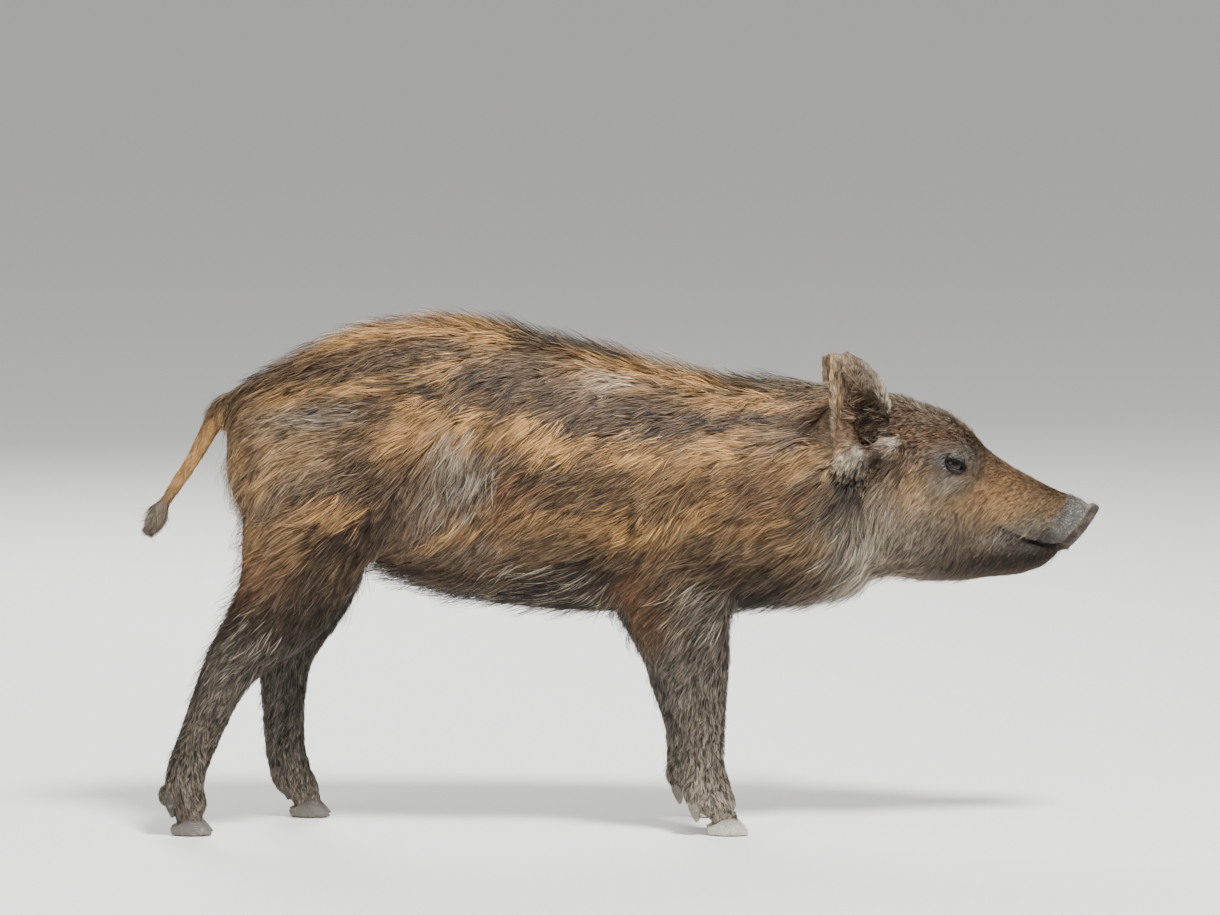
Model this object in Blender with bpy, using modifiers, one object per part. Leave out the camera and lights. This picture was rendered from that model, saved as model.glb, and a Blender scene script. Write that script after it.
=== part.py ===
"""A young wild boar in its fading striped coat, standing with its head held level, at life size.

Metres, +Z up. The boar faces +X, its right side is at -Y, and it stands on the plane z = 0.
The outlines run out to the tips of the coat. The flesh is lofted from rings along the trunk, the head,
the jaw and each leg, fused into one form, and then parted by thin cuts where its parts are named.
"""

import math

import bmesh
import bpy
import numpy as np
from mathutils import Matrix, Vector

# ---------------------------------------------------------------- driving dimensions
GAP = 0.0003                 # left between neighbouring solids
RUMP_TOP = 0.4390            # highest point of the back
BACK_AT_SHOULDER = 0.385     # height at the withers
CHEST_FLOOR = 0.184          # underside of the chest
BARREL_HALF_WIDTH = 0.085
LEG_STANCE = 0.050           # each leg's distance from the middle plane
FORELEG_CUT = 0.173          # height at which a foreleg is parted from the chest
HIND_LEG_CUT = 0.212         # the same for a hind leg, in the thigh
EYE_RADIUS = 0.0090
EYE_CENTRE = (0.2805, 0.0345, 0.3125)
SNOUT_DISC_CENTRE = (0.3915, 0.0, 0.2562)
SNOUT_DISC_HALF = 0.0238     # half height of the disc
SNOUT_DISC_PITCH = -39       # degrees that the disc faces below level
SNOUT_DISC_DEPTH = 0.0055    # from its middle back to the muzzle
EAR_LENGTH = {-1: 0.098, 1: 0.087}      # by side: the left ear spreads a little lower
EAR_SPREAD = {-1: 0.012, 1: 0.024}
EAR_OUT = 0.0510              # its foot's distance from the middle plane
EAR_BASE = 0.3110
EAR_REAR = 0.1735
EAR_HALF_WIDTH = 0.0290
EAR_THICKNESS = 0.0044
EAR_CUP = 0.019               # depth of the hollow at the ear's foot
EAR_ROWS, EAR_COLUMNS = 12, 8
HOOF_LENGTH = 0.034
HOOF_WIDTH = 0.0150
HOOF_HEIGHT = 0.0215
HOOF_LEAN = 0.0060           # how far back the top of a hoof stands
TOE_GAP = 0.0018             # between the two hooves of a foot
DEWCLAW_LENGTH = 0.026
DEWCLAW_RADII = (0.0030, 0.0062)    # at the tip and at the root
DEWCLAW_HEIGHT = 0.0270      # of its middle
DEWCLAW_SPREAD = 0.0105      # from the middle of the foot
SEAT_GAP = 0.0004            # round a hoof or a dewclaw

VOXEL = 0.0036               # grain of the fused flesh
FLESH_SHARE = 0.025          # share of the fused flesh's triangles that are kept
RING_SIDES = 32
RING_STEPS = 5               # rings between two stations

# ---------------------------------------------------------------- colours, as (r, g, b), roughness
FINISHES = {
    "coat_brown": ((0.145, 0.085, 0.048), 0.85),
    "coat_head": ((0.190, 0.120, 0.070), 0.85),
    "coat_legs": ((0.090, 0.062, 0.042), 0.85),
    "coat_tail": ((0.380, 0.210, 0.085), 0.85),
    "tail_tuft": ((0.060, 0.055, 0.050), 0.85),
    "ear_coat": ((0.240, 0.165, 0.110), 0.85),
    "snout_skin": ((0.110, 0.095, 0.090), 0.70),
    "eye": ((0.012, 0.008, 0.006), 0.12),
    "hoof": ((0.330, 0.290, 0.240), 0.60),
}

# ---------------------------------------------------------------- stations of the flesh
# Trunk and neck, from the buttocks to behind the ears: x, top of the back, underside, half width.
TRUNK = [
    (-0.335, 0.350, 0.292, 0.020),
    (-0.323, 0.378, 0.268, 0.042),
    (-0.298, 0.395, 0.246, 0.059),
    (-0.258, 0.4165, 0.230, 0.070),
    (-0.212, 0.4325, 0.226, 0.076),
    (-0.160, RUMP_TOP, 0.205, 0.081),
    (-0.105, 0.4325, 0.192, 0.084),
    (-0.045, 0.4185, 0.187, BARREL_HALF_WIDTH),
    (0.015, 0.4040, CHEST_FLOOR, 0.084),
    (0.068, 0.3925, CHEST_FLOOR, 0.079),
    (0.112, BACK_AT_SHOULDER, 0.191, 0.071),
    (0.158, BACK_AT_SHOULDER, 0.197, 0.063),
    (0.200, 0.3830, 0.204, 0.056),
]
# The rest are x, z of the middle, pitch of the axis, and half sizes: up, down and to each side.
# Where a leg's axis points down, "up" is towards the snout.
SKULL_AND_MUZZLE = [
    (0.186, 0.296, 0, 0.082, 0.088, 0.055),
    (0.222, 0.293, -6, 0.079, 0.083, 0.056),
    (0.250, 0.289, -12, 0.069, 0.077, 0.053),
    (0.273, 0.285, -18, 0.058, 0.070, 0.046),
    (0.296, 0.281, -23, 0.0435, 0.055, 0.0375),
    (0.320, 0.276, -25, 0.0350, 0.040, 0.0305),
    (0.345, 0.270, -27, 0.0280, 0.0300, 0.0262),
    (0.367, 0.2645, -31, 0.0235, 0.0255, 0.0236),
    (0.3835, 0.2600, -37, 0.0222, 0.0232, 0.0226),
    (0.396, 0.2520, -39, 0.0222, 0.0232, 0.0226),
]
LOWER_JAW = [
    (0.214, 0.262, -4, 0.030, 0.046, 0.040),
    (0.250, 0.244, -4, 0.030, 0.034, 0.043),
    (0.285, 0.239, -2, 0.026, 0.030, 0.0365),
    (0.315, 0.2365, -3, 0.022, 0.0245, 0.0275),
    (0.340, 0.2345, -3, 0.013, 0.0190, 0.0205),
    (0.358, 0.2345, 2, 0.0085, 0.0125, 0.0160),
    (0.370, 0.2360, 10, 0.0045, 0.0055, 0.0090),
]
FORELEG = [
    (0.050, 0.278, -90, 0.050, 0.048, 0.032),
    (0.0465, 0.218, -90, 0.0485, 0.046, 0.033),
    (0.0490, 0.1810, -88, 0.0475, 0.0420, 0.0300),
    (0.0550, 0.1580, -85, 0.0400, 0.0350, 0.0260),
    (0.0605, 0.1340, -84, 0.0335, 0.0285, 0.0218),
    (0.0635, 0.1120, -85, 0.0285, 0.0255, 0.0192),
    (0.0675, 0.0870, -86, 0.0230, 0.0200, 0.0168),
    (0.0695, 0.0660, -87, 0.0200, 0.0185, 0.0156),
    (0.0715, 0.0490, -80, 0.0205, 0.0200, 0.0168),
    (0.0795, 0.0320, -56, 0.0190, 0.0190, 0.0178),
    (0.0880, 0.0190, -46, 0.0125, 0.0135, 0.0165),
]
RIGHT_HIND_LEG = [
    (-0.258, 0.305, -90, 0.066, 0.066, 0.034),
    (-0.266, 0.245, -92, 0.058, 0.056, 0.034),
    (-0.278, 0.205, -100, 0.050, 0.047, 0.030),
    (-0.3000, 0.1720, -116, 0.0375, 0.0380, 0.0235),
    (-0.3270, 0.1440, -119, 0.0255, 0.0262, 0.0195),
    (-0.3430, 0.1130, -114, 0.0200, 0.0212, 0.0168),
    (-0.3575, 0.0780, -112, 0.0182, 0.0190, 0.0156),
    (-0.3680, 0.0500, -100, 0.0178, 0.0188, 0.0168),
    (-0.3675, 0.0300, -84, 0.0165, 0.0165, 0.0178),
    (-0.3640, 0.0165, -70, 0.0110, 0.0120, 0.0165),
]
LEFT_HIND_LEG = [
    (-0.250, 0.305, -90, 0.062, 0.066, 0.034),
    (-0.256, 0.245, -94, 0.050, 0.052, 0.034),
    (-0.2640, 0.205, -104, 0.0410, 0.042, 0.030),
    (-0.2730, 0.1720, -112, 0.0310, 0.0350, 0.0235),
    (-0.2860, 0.1430, -106, 0.0245, 0.0265, 0.0195),
    (-0.2900, 0.1130, -95, 0.0215, 0.0225, 0.0168),
    (-0.2895, 0.0780, -88, 0.0190, 0.0200, 0.0156),
    (-0.2870, 0.0500, -82, 0.0180, 0.0195, 0.0168),
    (-0.2790, 0.0300, -66, 0.0170, 0.0175, 0.0178),
    (-0.2715, 0.0175, -56, 0.0100, 0.0125, 0.0165),
]
TAIL = [
    (-0.3140, 0.3700, -148, 0.0105, 0.0105, 0.0120),
    (-0.3300, 0.3655, -128, 0.0108, 0.0108, 0.0112),
    (-0.3445, 0.3475, -118, 0.0092, 0.0092, 0.0090),
    (-0.3595, 0.3195, -119, 0.0074, 0.0074, 0.0072),
    (-0.3765, 0.2935, -122, 0.0066, 0.0066, 0.0064),
    (-0.3875, 0.2775, -122, 0.0070, 0.0070, 0.0066),
]
TAIL_TUFT = [
    (-0.3875, 0.2775, -122, 0.0072, 0.0072, 0.0068),
    (-0.3935, 0.2665, -117, 0.0112, 0.0112, 0.0090),
    (-0.3985, 0.2550, -108, 0.0085, 0.0085, 0.0070),
    (-0.4005, 0.2480, -100, 0.0020, 0.0020, 0.0020),
]
# Each leg: its stations, its side (-1 right, +1 left) and how far it stands from the drawn place.
LEGS = {
    "foreleg_right": (FORELEG, -1, 0.0),
    "foreleg_left": (FORELEG, 1, -0.013),
    "hind_leg_right": (RIGHT_HIND_LEG, -1, 0.0),
    "hind_leg_left": (LEFT_HIND_LEG, 1, 0.0),
}
# Along X, the middle of each foot's pair of hooves and of its pair of dewclaws.
FOOT_X = {
    "foreleg_right": (0.0915, 0.0605),
    "foreleg_left": (0.0785, 0.0475),
    "hind_leg_right": (-0.3620, -0.3860),
    "hind_leg_left": (-0.2670, -0.2935),
}

CUTTERS = None    # collections, made in main()
BOAR = None


# ---------------------------------------------------------------- shaping tools
def smooth_stations(stations, steps=RING_STEPS):
    """A Catmull-Rom curve through the stations, in all their measures at once."""
    points = np.array([stations[0], *stations, stations[-1]], float)
    t = np.linspace(0, 1, steps, endpoint=False)[:, None]
    found = []
    for a, b, c, d in zip(points, points[1:], points[2:], points[3:]):
        bend, twist = 2 * a - 5 * b + 4 * c - d, 3 * b - a - 3 * c + d
        found.extend(0.5 * (2 * b + (c - a) * t + bend * t**2 + twist * t**3))
    return [*found, points[-1]]


def egg_ring(x, z, pitch, up, down, side, y=0.0, taper=0.0, sides=RING_SIDES):
    """A ring square to an axis that runs at `pitch` degrees above +X. taper narrows its upper half."""
    turn = np.linspace(0, 2 * np.pi, sides, endpoint=False)
    rise, spread = np.sin(turn), np.cos(turn)
    tall = np.where(rise > 0, up, down) * rise
    wide = side * spread * (1 - taper * rise)
    slope = math.radians(pitch)
    return np.stack([x - tall * math.sin(slope), y + wide, z + tall * math.cos(slope)], axis=1)


def loft(rings):
    """A closed mesh through rings of equal counts, each end closed by a fan to its middle."""
    bm = bmesh.new()
    loops = [[bm.verts.new(point) for point in ring] for ring in rings]
    for first, second in zip(loops, loops[1:]):
        for i, vert in enumerate(first):
            j = (i + 1) % len(first)
            bm.faces.new((vert, first[j], second[j], second[i]))
    for loop in (loops[0], loops[-1]):
        middle = bm.verts.new(sum((v.co for v in loop), Vector()) / len(loop))
        for i, vert in enumerate(loop):
            bm.faces.new((vert, loop[(i + 1) % len(loop)], middle))
    bmesh.ops.recalc_face_normals(bm, faces=bm.faces)
    return bm


def as_object(name, bm, collection=None):
    """The bmesh as an object in a collection. A cutter is hidden from renders and drawn as wire."""
    mesh = bpy.data.meshes.new(name)
    bm.to_mesh(mesh)
    bm.free()
    obj = bpy.data.objects.new(name, mesh)
    (collection or BOAR).objects.link(obj)
    if collection is CUTTERS:
        obj.hide_render = True
        obj.display_type = "WIRE"
    return obj


def evaluated_mesh(obj):
    graph = bpy.context.evaluated_depsgraph_get()
    return bpy.data.meshes.new_from_object(obj.evaluated_get(graph))


def finish(obj, finish_name):
    """One Principled BSDF for each finish, shared by the pieces that wear it."""
    material = bpy.data.materials.get(finish_name)
    if material is None:
        colour, roughness = FINISHES[finish_name]
        material = bpy.data.materials.new(finish_name)
        material.use_nodes = True
        shader = material.node_tree.nodes["Principled BSDF"]
        shader.inputs["Base Color"].default_value = (*colour, 1.0)
        shader.inputs["Roughness"].default_value = roughness
        shader.inputs["Metallic"].default_value = 0.0
    obj.data.materials.clear()
    obj.data.materials.append(material)
    obj.data.shade_smooth()
    obj.data.set_sharp_from_angle(angle=math.radians(50))
    return obj


def tube_of_rings(stations, steps=RING_STEPS, **options):
    return loft([egg_ring(*station, **options) for station in smooth_stations(stations, steps)])


# ---------------------------------------------------------------- the flesh, whole
def trunk_form():
    rings = []
    for x, top, bottom, half_width in smooth_stations(TRUNK):
        middle = bottom + 0.47 * (top - bottom)
        rings.append(egg_ring(x, middle, 0, top - middle, middle - bottom, half_width, taper=0.13))
    return loft(rings)


def leg_form(stations, side, shift):
    """A leg whose upper end leans in to the body's middle."""
    rings = []
    for x, z, pitch, fore, aft, half_width in smooth_stations(stations):
        lean = 0.013 * max(0.0, z - 0.16) / 0.14
        rings.append(egg_ring(x + shift, z, pitch, fore, aft, half_width, y=side * (LEG_STANCE - lean)))
    return loft(rings)


def muscle(centre, radii, pitch=0.0):
    """An ellipsoid under the skin: a shoulder, a haunch, a cheek or a brow."""
    bm = bmesh.new()
    turn = Matrix.Rotation(math.radians(-pitch), 4, "Y")
    shape = Matrix.Translation(centre) @ turn @ Matrix.Diagonal((*radii, 1.0))
    bmesh.ops.create_uvsphere(bm, u_segments=24, v_segments=16, radius=1.0, matrix=shape)
    return bm


def muscles():
    """The paired forms that swell the skin on each side."""
    for side in (-1, 1):
        yield muscle((0.066, side * 0.052, 0.268), (0.050, 0.031, 0.076), pitch=-12)     # shoulder
        yield muscle((-0.256, side * 0.047, 0.284), (0.066, 0.032, 0.076), pitch=15)     # haunch
        yield muscle((0.244, side * 0.030, 0.264), (0.048, 0.0275, 0.044), pitch=-15)    # cheek
        yield muscle((0.262, side * 0.0265, 0.330), (0.024, 0.014, 0.012), pitch=-30)    # brow
        yield muscle((0.190, side * 0.038, 0.338), (0.024, 0.020, 0.028))                # root of the ear
        yield muscle((0.2075, side * 0.050, 0.319), (0.0180, 0.0110, 0.0080), pitch=14)  # lobe of the ear


def flesh():
    """All the forms fused, smoothed and thinned to a light mesh."""
    forms = [trunk_form(), tube_of_rings(SKULL_AND_MUZZLE), tube_of_rings(LOWER_JAW), *muscles()]
    forms += [leg_form(*leg) for leg in LEGS.values()]
    clay = bmesh.new()
    for form in forms:
        loose = bpy.data.meshes.new("form")
        form.to_mesh(loose)
        clay.from_mesh(loose)
        form.free()
        bpy.data.meshes.remove(loose)
    obj = as_object("flesh", clay, CUTTERS)
    fuse = obj.modifiers.new("fuse", "REMESH")
    fuse.mode = "VOXEL"
    fuse.voxel_size = VOXEL
    ease = obj.modifiers.new("ease", "SMOOTH")
    ease.factor = 0.5
    ease.iterations = 9
    obj.data = evaluated_mesh(obj)
    obj.modifiers.clear()
    thin = obj.modifiers.new("thin", "DECIMATE")
    thin.ratio = FLESH_SHARE
    obj.data = evaluated_mesh(obj)
    obj.modifiers.clear()
    return obj


# ---------------------------------------------------------------- the pieces that are not flesh
def ear(name, side, grow=0.0, collection=None):
    """A cupped leaf: its hollow faces outwards and a little forwards, its rear edge stands straight.

    grow makes the seat that the ear is set in: a thicker leaf that runs on past each edge.
    """
    across = Vector((-0.90, side * 0.44, 0.0))       # from the front edge to the rear edge
    face = Vector((0.44, side * 0.90, 0.0))          # the way the hollow looks
    levels = list(np.linspace(0, 1, EAR_ROWS))
    if grow:
        levels = [-3 * grow / EAR_LENGTH[side], *levels, 1 + grow / EAR_LENGTH[side]]
    bm = bmesh.new()
    rows = []
    for s in levels:
        spread = (min(1.0, max(0.0, s)) - 0.42) / 0.60
        half_width = EAR_HALF_WIDTH * math.sqrt(1 - spread * spread)
        cup = EAR_CUP * (1 - 0.72 * s)
        middle = Vector((
            EAR_REAR + 0.86 * half_width + 0.40 * cup,
            side * (EAR_OUT + EAR_SPREAD[side] * s * s),
            EAR_BASE + EAR_LENGTH[side] * s,
        ))
        shares = list(np.linspace(-1, 1, EAR_COLUMNS))
        if grow:
            shares = [-1 - grow / half_width, *shares, 1 + grow / half_width]
        sheet = [middle + across * (half_width * u) - face * (cup * (1 - u * u)) for u in shares]
        rows.append([bm.verts.new(point) for point in sheet])
    for low, high in zip(rows, rows[1:]):
        for k in range(len(low) - 1):
            corners = (low[k], low[k + 1], high[k + 1], high[k])
            bm.faces.new(corners if side < 0 else corners[::-1])
    obj = as_object(name, bm, collection)
    body = obj.modifiers.new("body", "SOLIDIFY")
    body.thickness = EAR_THICKNESS + 2 * grow
    body.offset = 0.0
    return obj


def eye(name, side, grow=0.0, collection=None):
    bm = bmesh.new()
    place = Matrix.Translation((EYE_CENTRE[0], side * EYE_CENTRE[1], EYE_CENTRE[2]))
    bmesh.ops.create_uvsphere(bm, u_segments=14, v_segments=8, radius=EYE_RADIUS + grow, matrix=place)
    return as_object(name, bm, collection)


def hoof(name, foot, toe, grow=0.0, collection=None):
    """One of a foot's two claws: a flat sole, a wall that leans back and a rounded point in front."""
    bm = bmesh.new()
    bmesh.ops.create_cone(
        bm, cap_ends=True, segments=16, radius1=1.0, radius2=1.0, depth=1.0,
        matrix=Matrix.Translation((0, 0, 0.5)),
    )
    whole = [*bm.verts, *bm.edges, *bm.faces]
    bmesh.ops.bisect_plane(bm, geom=whole, plane_co=(0, 0, 0.45), plane_no=(0, 0, 1))
    side = LEGS[foot][1]
    length, width, height = HOOF_LENGTH / 2 + grow, HOOF_WIDTH / 2 + grow, HOOF_HEIGHT + grow
    splay = Matrix.Rotation(math.radians(4) * toe, 4, "Z")
    place = Vector((FOOT_X[foot][0], side * LEG_STANCE + toe * (HOOF_WIDTH + TOE_GAP) / 2, 0))
    for vert in bm.verts:
        forward, sideways, level = vert.co
        taper = 1 - 0.22 * level
        x = length * forward * taper - HOOF_LEAN * level
        y = width * sideways * taper * (1 - 0.30 * max(0.0, forward) ** 2)
        z = height * level * (0.72 + 0.28 * forward)
        vert.co = splay @ Vector((x, y, z)) + place
        if level < 0.01:
            vert.co.z = -grow
    return as_object(name, bm, collection)


def dewclaw(name, foot, toe, grow=0.0, collection=None):
    """One of the two small claws that hang behind a foot, clear of the ground."""
    bm = bmesh.new()
    side = LEGS[foot][1]
    place = Vector((FOOT_X[foot][1], side * LEG_STANCE + toe * DEWCLAW_SPREAD, DEWCLAW_HEIGHT))
    swing = Matrix.Rotation(math.radians(-9), 4, "Y") @ Matrix.Rotation(math.radians(6) * toe, 4, "X")
    bmesh.ops.create_cone(
        bm, cap_ends=True, segments=12, radius1=DEWCLAW_RADII[0] + grow, radius2=DEWCLAW_RADII[1] + grow,
        depth=DEWCLAW_LENGTH + 2 * grow, matrix=Matrix.Translation(place) @ swing,
    )
    return as_object(name, bm, collection)


def snout_disc():
    """The flat disc at the muzzle's end: a rounded rim, a shallow dish and two nostrils."""
    profile = [(0.0, 0.940), (0.0034, 1.0), (0.0064, 0.98), (0.0076, 0.88), (0.0068, 0.45)]
    slope = math.radians(SNOUT_DISC_PITCH)
    back = Vector(SNOUT_DISC_CENTRE) - Vector((math.cos(slope), 0, math.sin(slope))) * SNOUT_DISC_DEPTH
    rings = []
    for depth, share in profile:
        half = SNOUT_DISC_HALF * share
        x, z = back.x + depth * math.cos(slope), back.z + depth * math.sin(slope)
        rings.append(egg_ring(x, z, SNOUT_DISC_PITCH, half, half, half, taper=0.10, sides=22))
    disc = as_object("snout_disc", loft(rings))
    face = Matrix.Translation(SNOUT_DISC_CENTRE) @ Matrix.Rotation(-slope, 4, "Y")
    for side in (-1, 1):
        bm = bmesh.new()
        place = Matrix.Translation((0.003, side * 0.0088, 0.0010))
        hole = place @ Matrix.Diagonal((0.0060, 0.0042, 0.0054, 1))
        bmesh.ops.create_uvsphere(bm, u_segments=12, v_segments=6, radius=1.0, matrix=face @ hole)
        cut(disc, as_object(f"nostril_{side}", bm, CUTTERS))
    return disc


# ---------------------------------------------------------------- cutting
def cut(obj, cutter):
    slot = obj.modifiers.new(f"cut_{cutter.name}", "BOOLEAN")
    slot.operation = "DIFFERENCE"
    slot.solver = "EXACT"
    slot.object = cutter


def plate(name, centre, pitch, size, thickness=GAP):
    """A thin plate for parting. At pitch 0 its face looks along +X."""
    bm = bmesh.new()
    place = Matrix.Translation(centre) @ Matrix.Rotation(math.radians(-pitch), 4, "Y")
    shape = place @ Matrix.Diagonal((thickness, size[0], size[1], 1.0))
    bmesh.ops.create_cube(bm, size=1.0, matrix=shape)
    return as_object(name, bm, CUTTERS)


def parting_plates():
    """Where a person would divide the body: nape, shoulder, mouth, jaw and the top of each leg."""
    yield plate("nape_plate", (0.200, 0, 0.290), 21, (0.40, 0.34))
    yield plate("shoulder_plate", (0.118, 0, 0.290), 12, (0.40, 0.34))
    yield plate("mouth_plate", (0.3640, 0, 0.2445), 74, (0.12, 0.0985), thickness=0.0008)
    yield plate("jaw_plate", (0.3035, 0, 0.2275), -24, (0.16, 0.0705))
    for side in (-1, 1):
        yield plate(f"foreleg_plate_{side}", (0.045, side * 0.080, FORELEG_CUT), 90, (0.158, 0.150))
        yield plate(f"hind_leg_plate_{side}", (-0.270, side * 0.080, HIND_LEG_CUT), 84, (0.158, 0.190))


def muzzle_end():
    """Takes off what of the muzzle would reach into the snout disc."""
    slope = math.radians(SNOUT_DISC_PITCH)
    depth = 0.05
    forward = Vector((math.cos(slope), 0, math.sin(slope)))
    centre = Vector(SNOUT_DISC_CENTRE) + forward * (depth / 2 - SNOUT_DISC_DEPTH - GAP)
    return plate("muzzle_plate", centre, SNOUT_DISC_PITCH, (0.1, 0.0520), thickness=depth)


# A point inside each piece of flesh, by which the parted pieces are told apart.
FLESH_NAMES = {
    "trunk": (-0.08, 0, 0.31),
    "neck": (0.158, 0, 0.29),
    "head": (0.265, 0, 0.290),
    "lower_jaw": (0.330, 0, 0.230),
    "foreleg_right": (0.062, -LEG_STANCE, 0.10),
    "foreleg_left": (0.048, LEG_STANCE, 0.10),
    "hind_leg_right": (-0.325, -LEG_STANCE, 0.12),
    "hind_leg_left": (-0.280, LEG_STANCE, 0.12),
}
FLESH_FINISH = {"trunk": "coat_brown", "neck": "coat_brown", "head": "coat_head", "lower_jaw": "coat_head"}
SMALLEST_VOLUME = 2e-7    # a crumb left by a cut is dropped


def part_flesh(whole):
    """Splits the cut flesh into its separate bodies and names each by the nearest point of FLESH_NAMES."""
    body = bpy.data.objects.new("body", evaluated_mesh(whole))
    BOAR.objects.link(body)
    bpy.ops.object.select_all(action="DESELECT")
    body.select_set(True)
    bpy.context.view_layer.objects.active = body
    bpy.ops.mesh.separate(type="LOOSE")
    for piece in list(bpy.context.selected_objects):
        bm = bmesh.new()
        bm.from_mesh(piece.data)
        volume = bm.calc_volume()
        bm.free()
        if volume < SMALLEST_VOLUME:
            bpy.data.objects.remove(piece)
            continue
        corners = [Vector(corner) for corner in piece.bound_box]
        middle = (corners[0] + corners[6]) / 2
        name = min(FLESH_NAMES, key=lambda n: (Vector(FLESH_NAMES[n]) - middle).length)
        piece.name = name
        finish(piece, FLESH_FINISH.get(name, "coat_legs"))


def centre_on_floor():
    """Moves everything along X so that the middle of the whole box is over the origin."""
    bpy.context.view_layer.update()
    graph = bpy.context.evaluated_depsgraph_get()
    ends = [c[0] for obj in BOAR.objects for c in obj.evaluated_get(graph).bound_box]
    shift = Matrix.Translation((-(min(ends) + max(ends)) / 2, 0, 0))
    for obj in [*BOAR.objects, *CUTTERS.objects]:
        obj.data.transform(shift)


def main():
    global BOAR, CUTTERS
    for obj in list(bpy.data.objects):
        bpy.data.objects.remove(obj)
    BOAR = bpy.data.collections.new("young_wild_boar")
    CUTTERS = bpy.data.collections.new("cutters")
    for collection in (BOAR, CUTTERS):
        bpy.context.scene.collection.children.link(collection)

    body = flesh()
    for side, word in ((-1, "right"), (1, "left")):
        hole = muscle((0.2075, side * 0.0560, 0.3440), (0.0125, 0.0190, 0.0165))
        cut(body, as_object(f"ear_hole_{word}", hole, CUTTERS))
        finish(ear(f"ear_{word}", side), "ear_coat")
        cut(body, ear(f"ear_seat_{word}", side, 2 * GAP, CUTTERS))
        finish(eye(f"eye_{word}", side), "eye")
        cut(body, eye(f"eye_socket_{word}", side, SEAT_GAP, CUTTERS))
    for foot in LEGS:
        for toe, word in ((-1, "a"), (1, "b")):
            finish(hoof(f"hoof_{foot}_{word}", foot, toe), "hoof")
            cut(body, hoof(f"hoof_seat_{foot}_{word}", foot, toe, SEAT_GAP, CUTTERS))
            finish(dewclaw(f"dewclaw_{foot}_{word}", foot, toe), "hoof")
            cut(body, dewclaw(f"dewclaw_seat_{foot}_{word}", foot, toe, SEAT_GAP, CUTTERS))
    tail = finish(as_object("tail", tube_of_rings(TAIL, steps=2, sides=12)), "coat_tail")
    tail_seat = [(*station[:3], *(size + 0.0005 for size in station[3:])) for station in TAIL]
    cut(body, as_object("tail_seat", tube_of_rings(tail_seat, steps=2, sides=12), CUTTERS))
    finish(as_object("tail_tuft", tube_of_rings(TAIL_TUFT, steps=3, sides=12)), "tail_tuft")
    cut(tail, plate("tuft_plate", (-0.3895, 0, 0.2745), -122, (0.05, 0.05), thickness=0.0068))
    finish(snout_disc(), "snout_skin")
    cut(body, muzzle_end())
    for made in parting_plates():
        cut(body, made)
    part_flesh(body)
    centre_on_floor()


main()
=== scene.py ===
# %% [markdown]
# # A young wild boar
# This lesson dresses a packed, measured body with its living surface. The body is a set of plain
# closed solids: trunk, neck, head, legs, ears and hooves. They give the true outline and never
# move. What is made here is what an eye sees: one skin with lids, lips and wrinkles, a coat of
# some five hundred thousand strands of hair, wet eyes and worn horn.

import math
import time

import bmesh
import bpy
import numpy as np
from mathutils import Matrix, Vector
from mathutils.bvhtree import BVHTree
from mathutils.kdtree import KDTree


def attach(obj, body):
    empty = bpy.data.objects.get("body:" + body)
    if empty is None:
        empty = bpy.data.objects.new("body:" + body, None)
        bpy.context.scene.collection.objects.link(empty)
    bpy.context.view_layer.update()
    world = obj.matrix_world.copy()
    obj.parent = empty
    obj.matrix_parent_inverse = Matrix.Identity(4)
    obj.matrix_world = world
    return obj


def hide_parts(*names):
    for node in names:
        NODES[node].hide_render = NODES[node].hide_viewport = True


STARTED = time.time()
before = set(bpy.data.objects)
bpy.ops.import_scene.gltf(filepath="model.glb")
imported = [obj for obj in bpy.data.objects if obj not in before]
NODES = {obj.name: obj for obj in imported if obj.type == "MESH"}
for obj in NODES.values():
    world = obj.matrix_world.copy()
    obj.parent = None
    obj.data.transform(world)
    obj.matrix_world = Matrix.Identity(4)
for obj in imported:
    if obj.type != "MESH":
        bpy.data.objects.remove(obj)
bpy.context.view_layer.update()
bpy.ops.object.select_all(action="DESELECT")

# %% [markdown]
# ## Small helpers
# Everything on the animal is judged by where it is: near the eye, above the knee, behind the
# shoulder. Three tiny functions do nearly all of that work. A smooth step goes softly from 0 to
# 1, a bump is 1 at a place and fades with distance, and a blend mixes two values by a share.


# %% Soft steps and bumps
def step(value, low, high):
    """0 below low, 1 above high and a smooth rise between; low may be the larger one."""
    t = np.clip((np.asarray(value, float) - low) / (high - low), 0, 1)
    return t * t * (3 - 2 * t)


def bump(distance, radius):
    """1 at no distance, fading to 0 at about twice the radius."""
    return np.exp(-((np.asarray(distance, float) / radius) ** 2))


def blend(first, second, share):
    return first * (1 - share) + second * share


def unit(vectors):
    return vectors / np.maximum(np.linalg.norm(vectors, axis=-1, keepdims=True), 1e-9)


def rows_of(collection, name):
    """Three numbers for each point or face, as an array with a row each."""
    found = np.empty(len(collection) * 3, np.float32)
    collection.foreach_get(name, found)
    return found.reshape(-1, 3).astype(float)


def points_of(obj):
    return rows_of(obj.data.vertices, "co")


def place_points(obj, places):
    obj.data.vertices.foreach_set("co", np.asarray(places, np.float32).ravel())
    obj.data.update()


def finder_of(places):
    """A tree that finds the nearest of the given places."""
    tree = KDTree(len(places))
    for number, place in enumerate(places.tolist()):
        tree.insert(place, number)
    tree.balance()
    return tree


def nearest_in(tree, places):
    return np.array([tree.find(place)[1] for place in places.tolist()])


def only(obj):
    """Selects one object and makes it active, as a click in the viewport does."""
    bpy.ops.object.select_all(action="DESELECT")
    obj.select_set(True)
    bpy.context.view_layer.objects.active = obj
    return obj


def apply_modifier(obj, kind, **settings):
    only(obj)
    modifier = obj.modifiers.new(kind.title(), kind)
    for name, value in settings.items():
        setattr(modifier, name, value)
    bpy.ops.object.modifier_apply(modifier=modifier.name)


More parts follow.
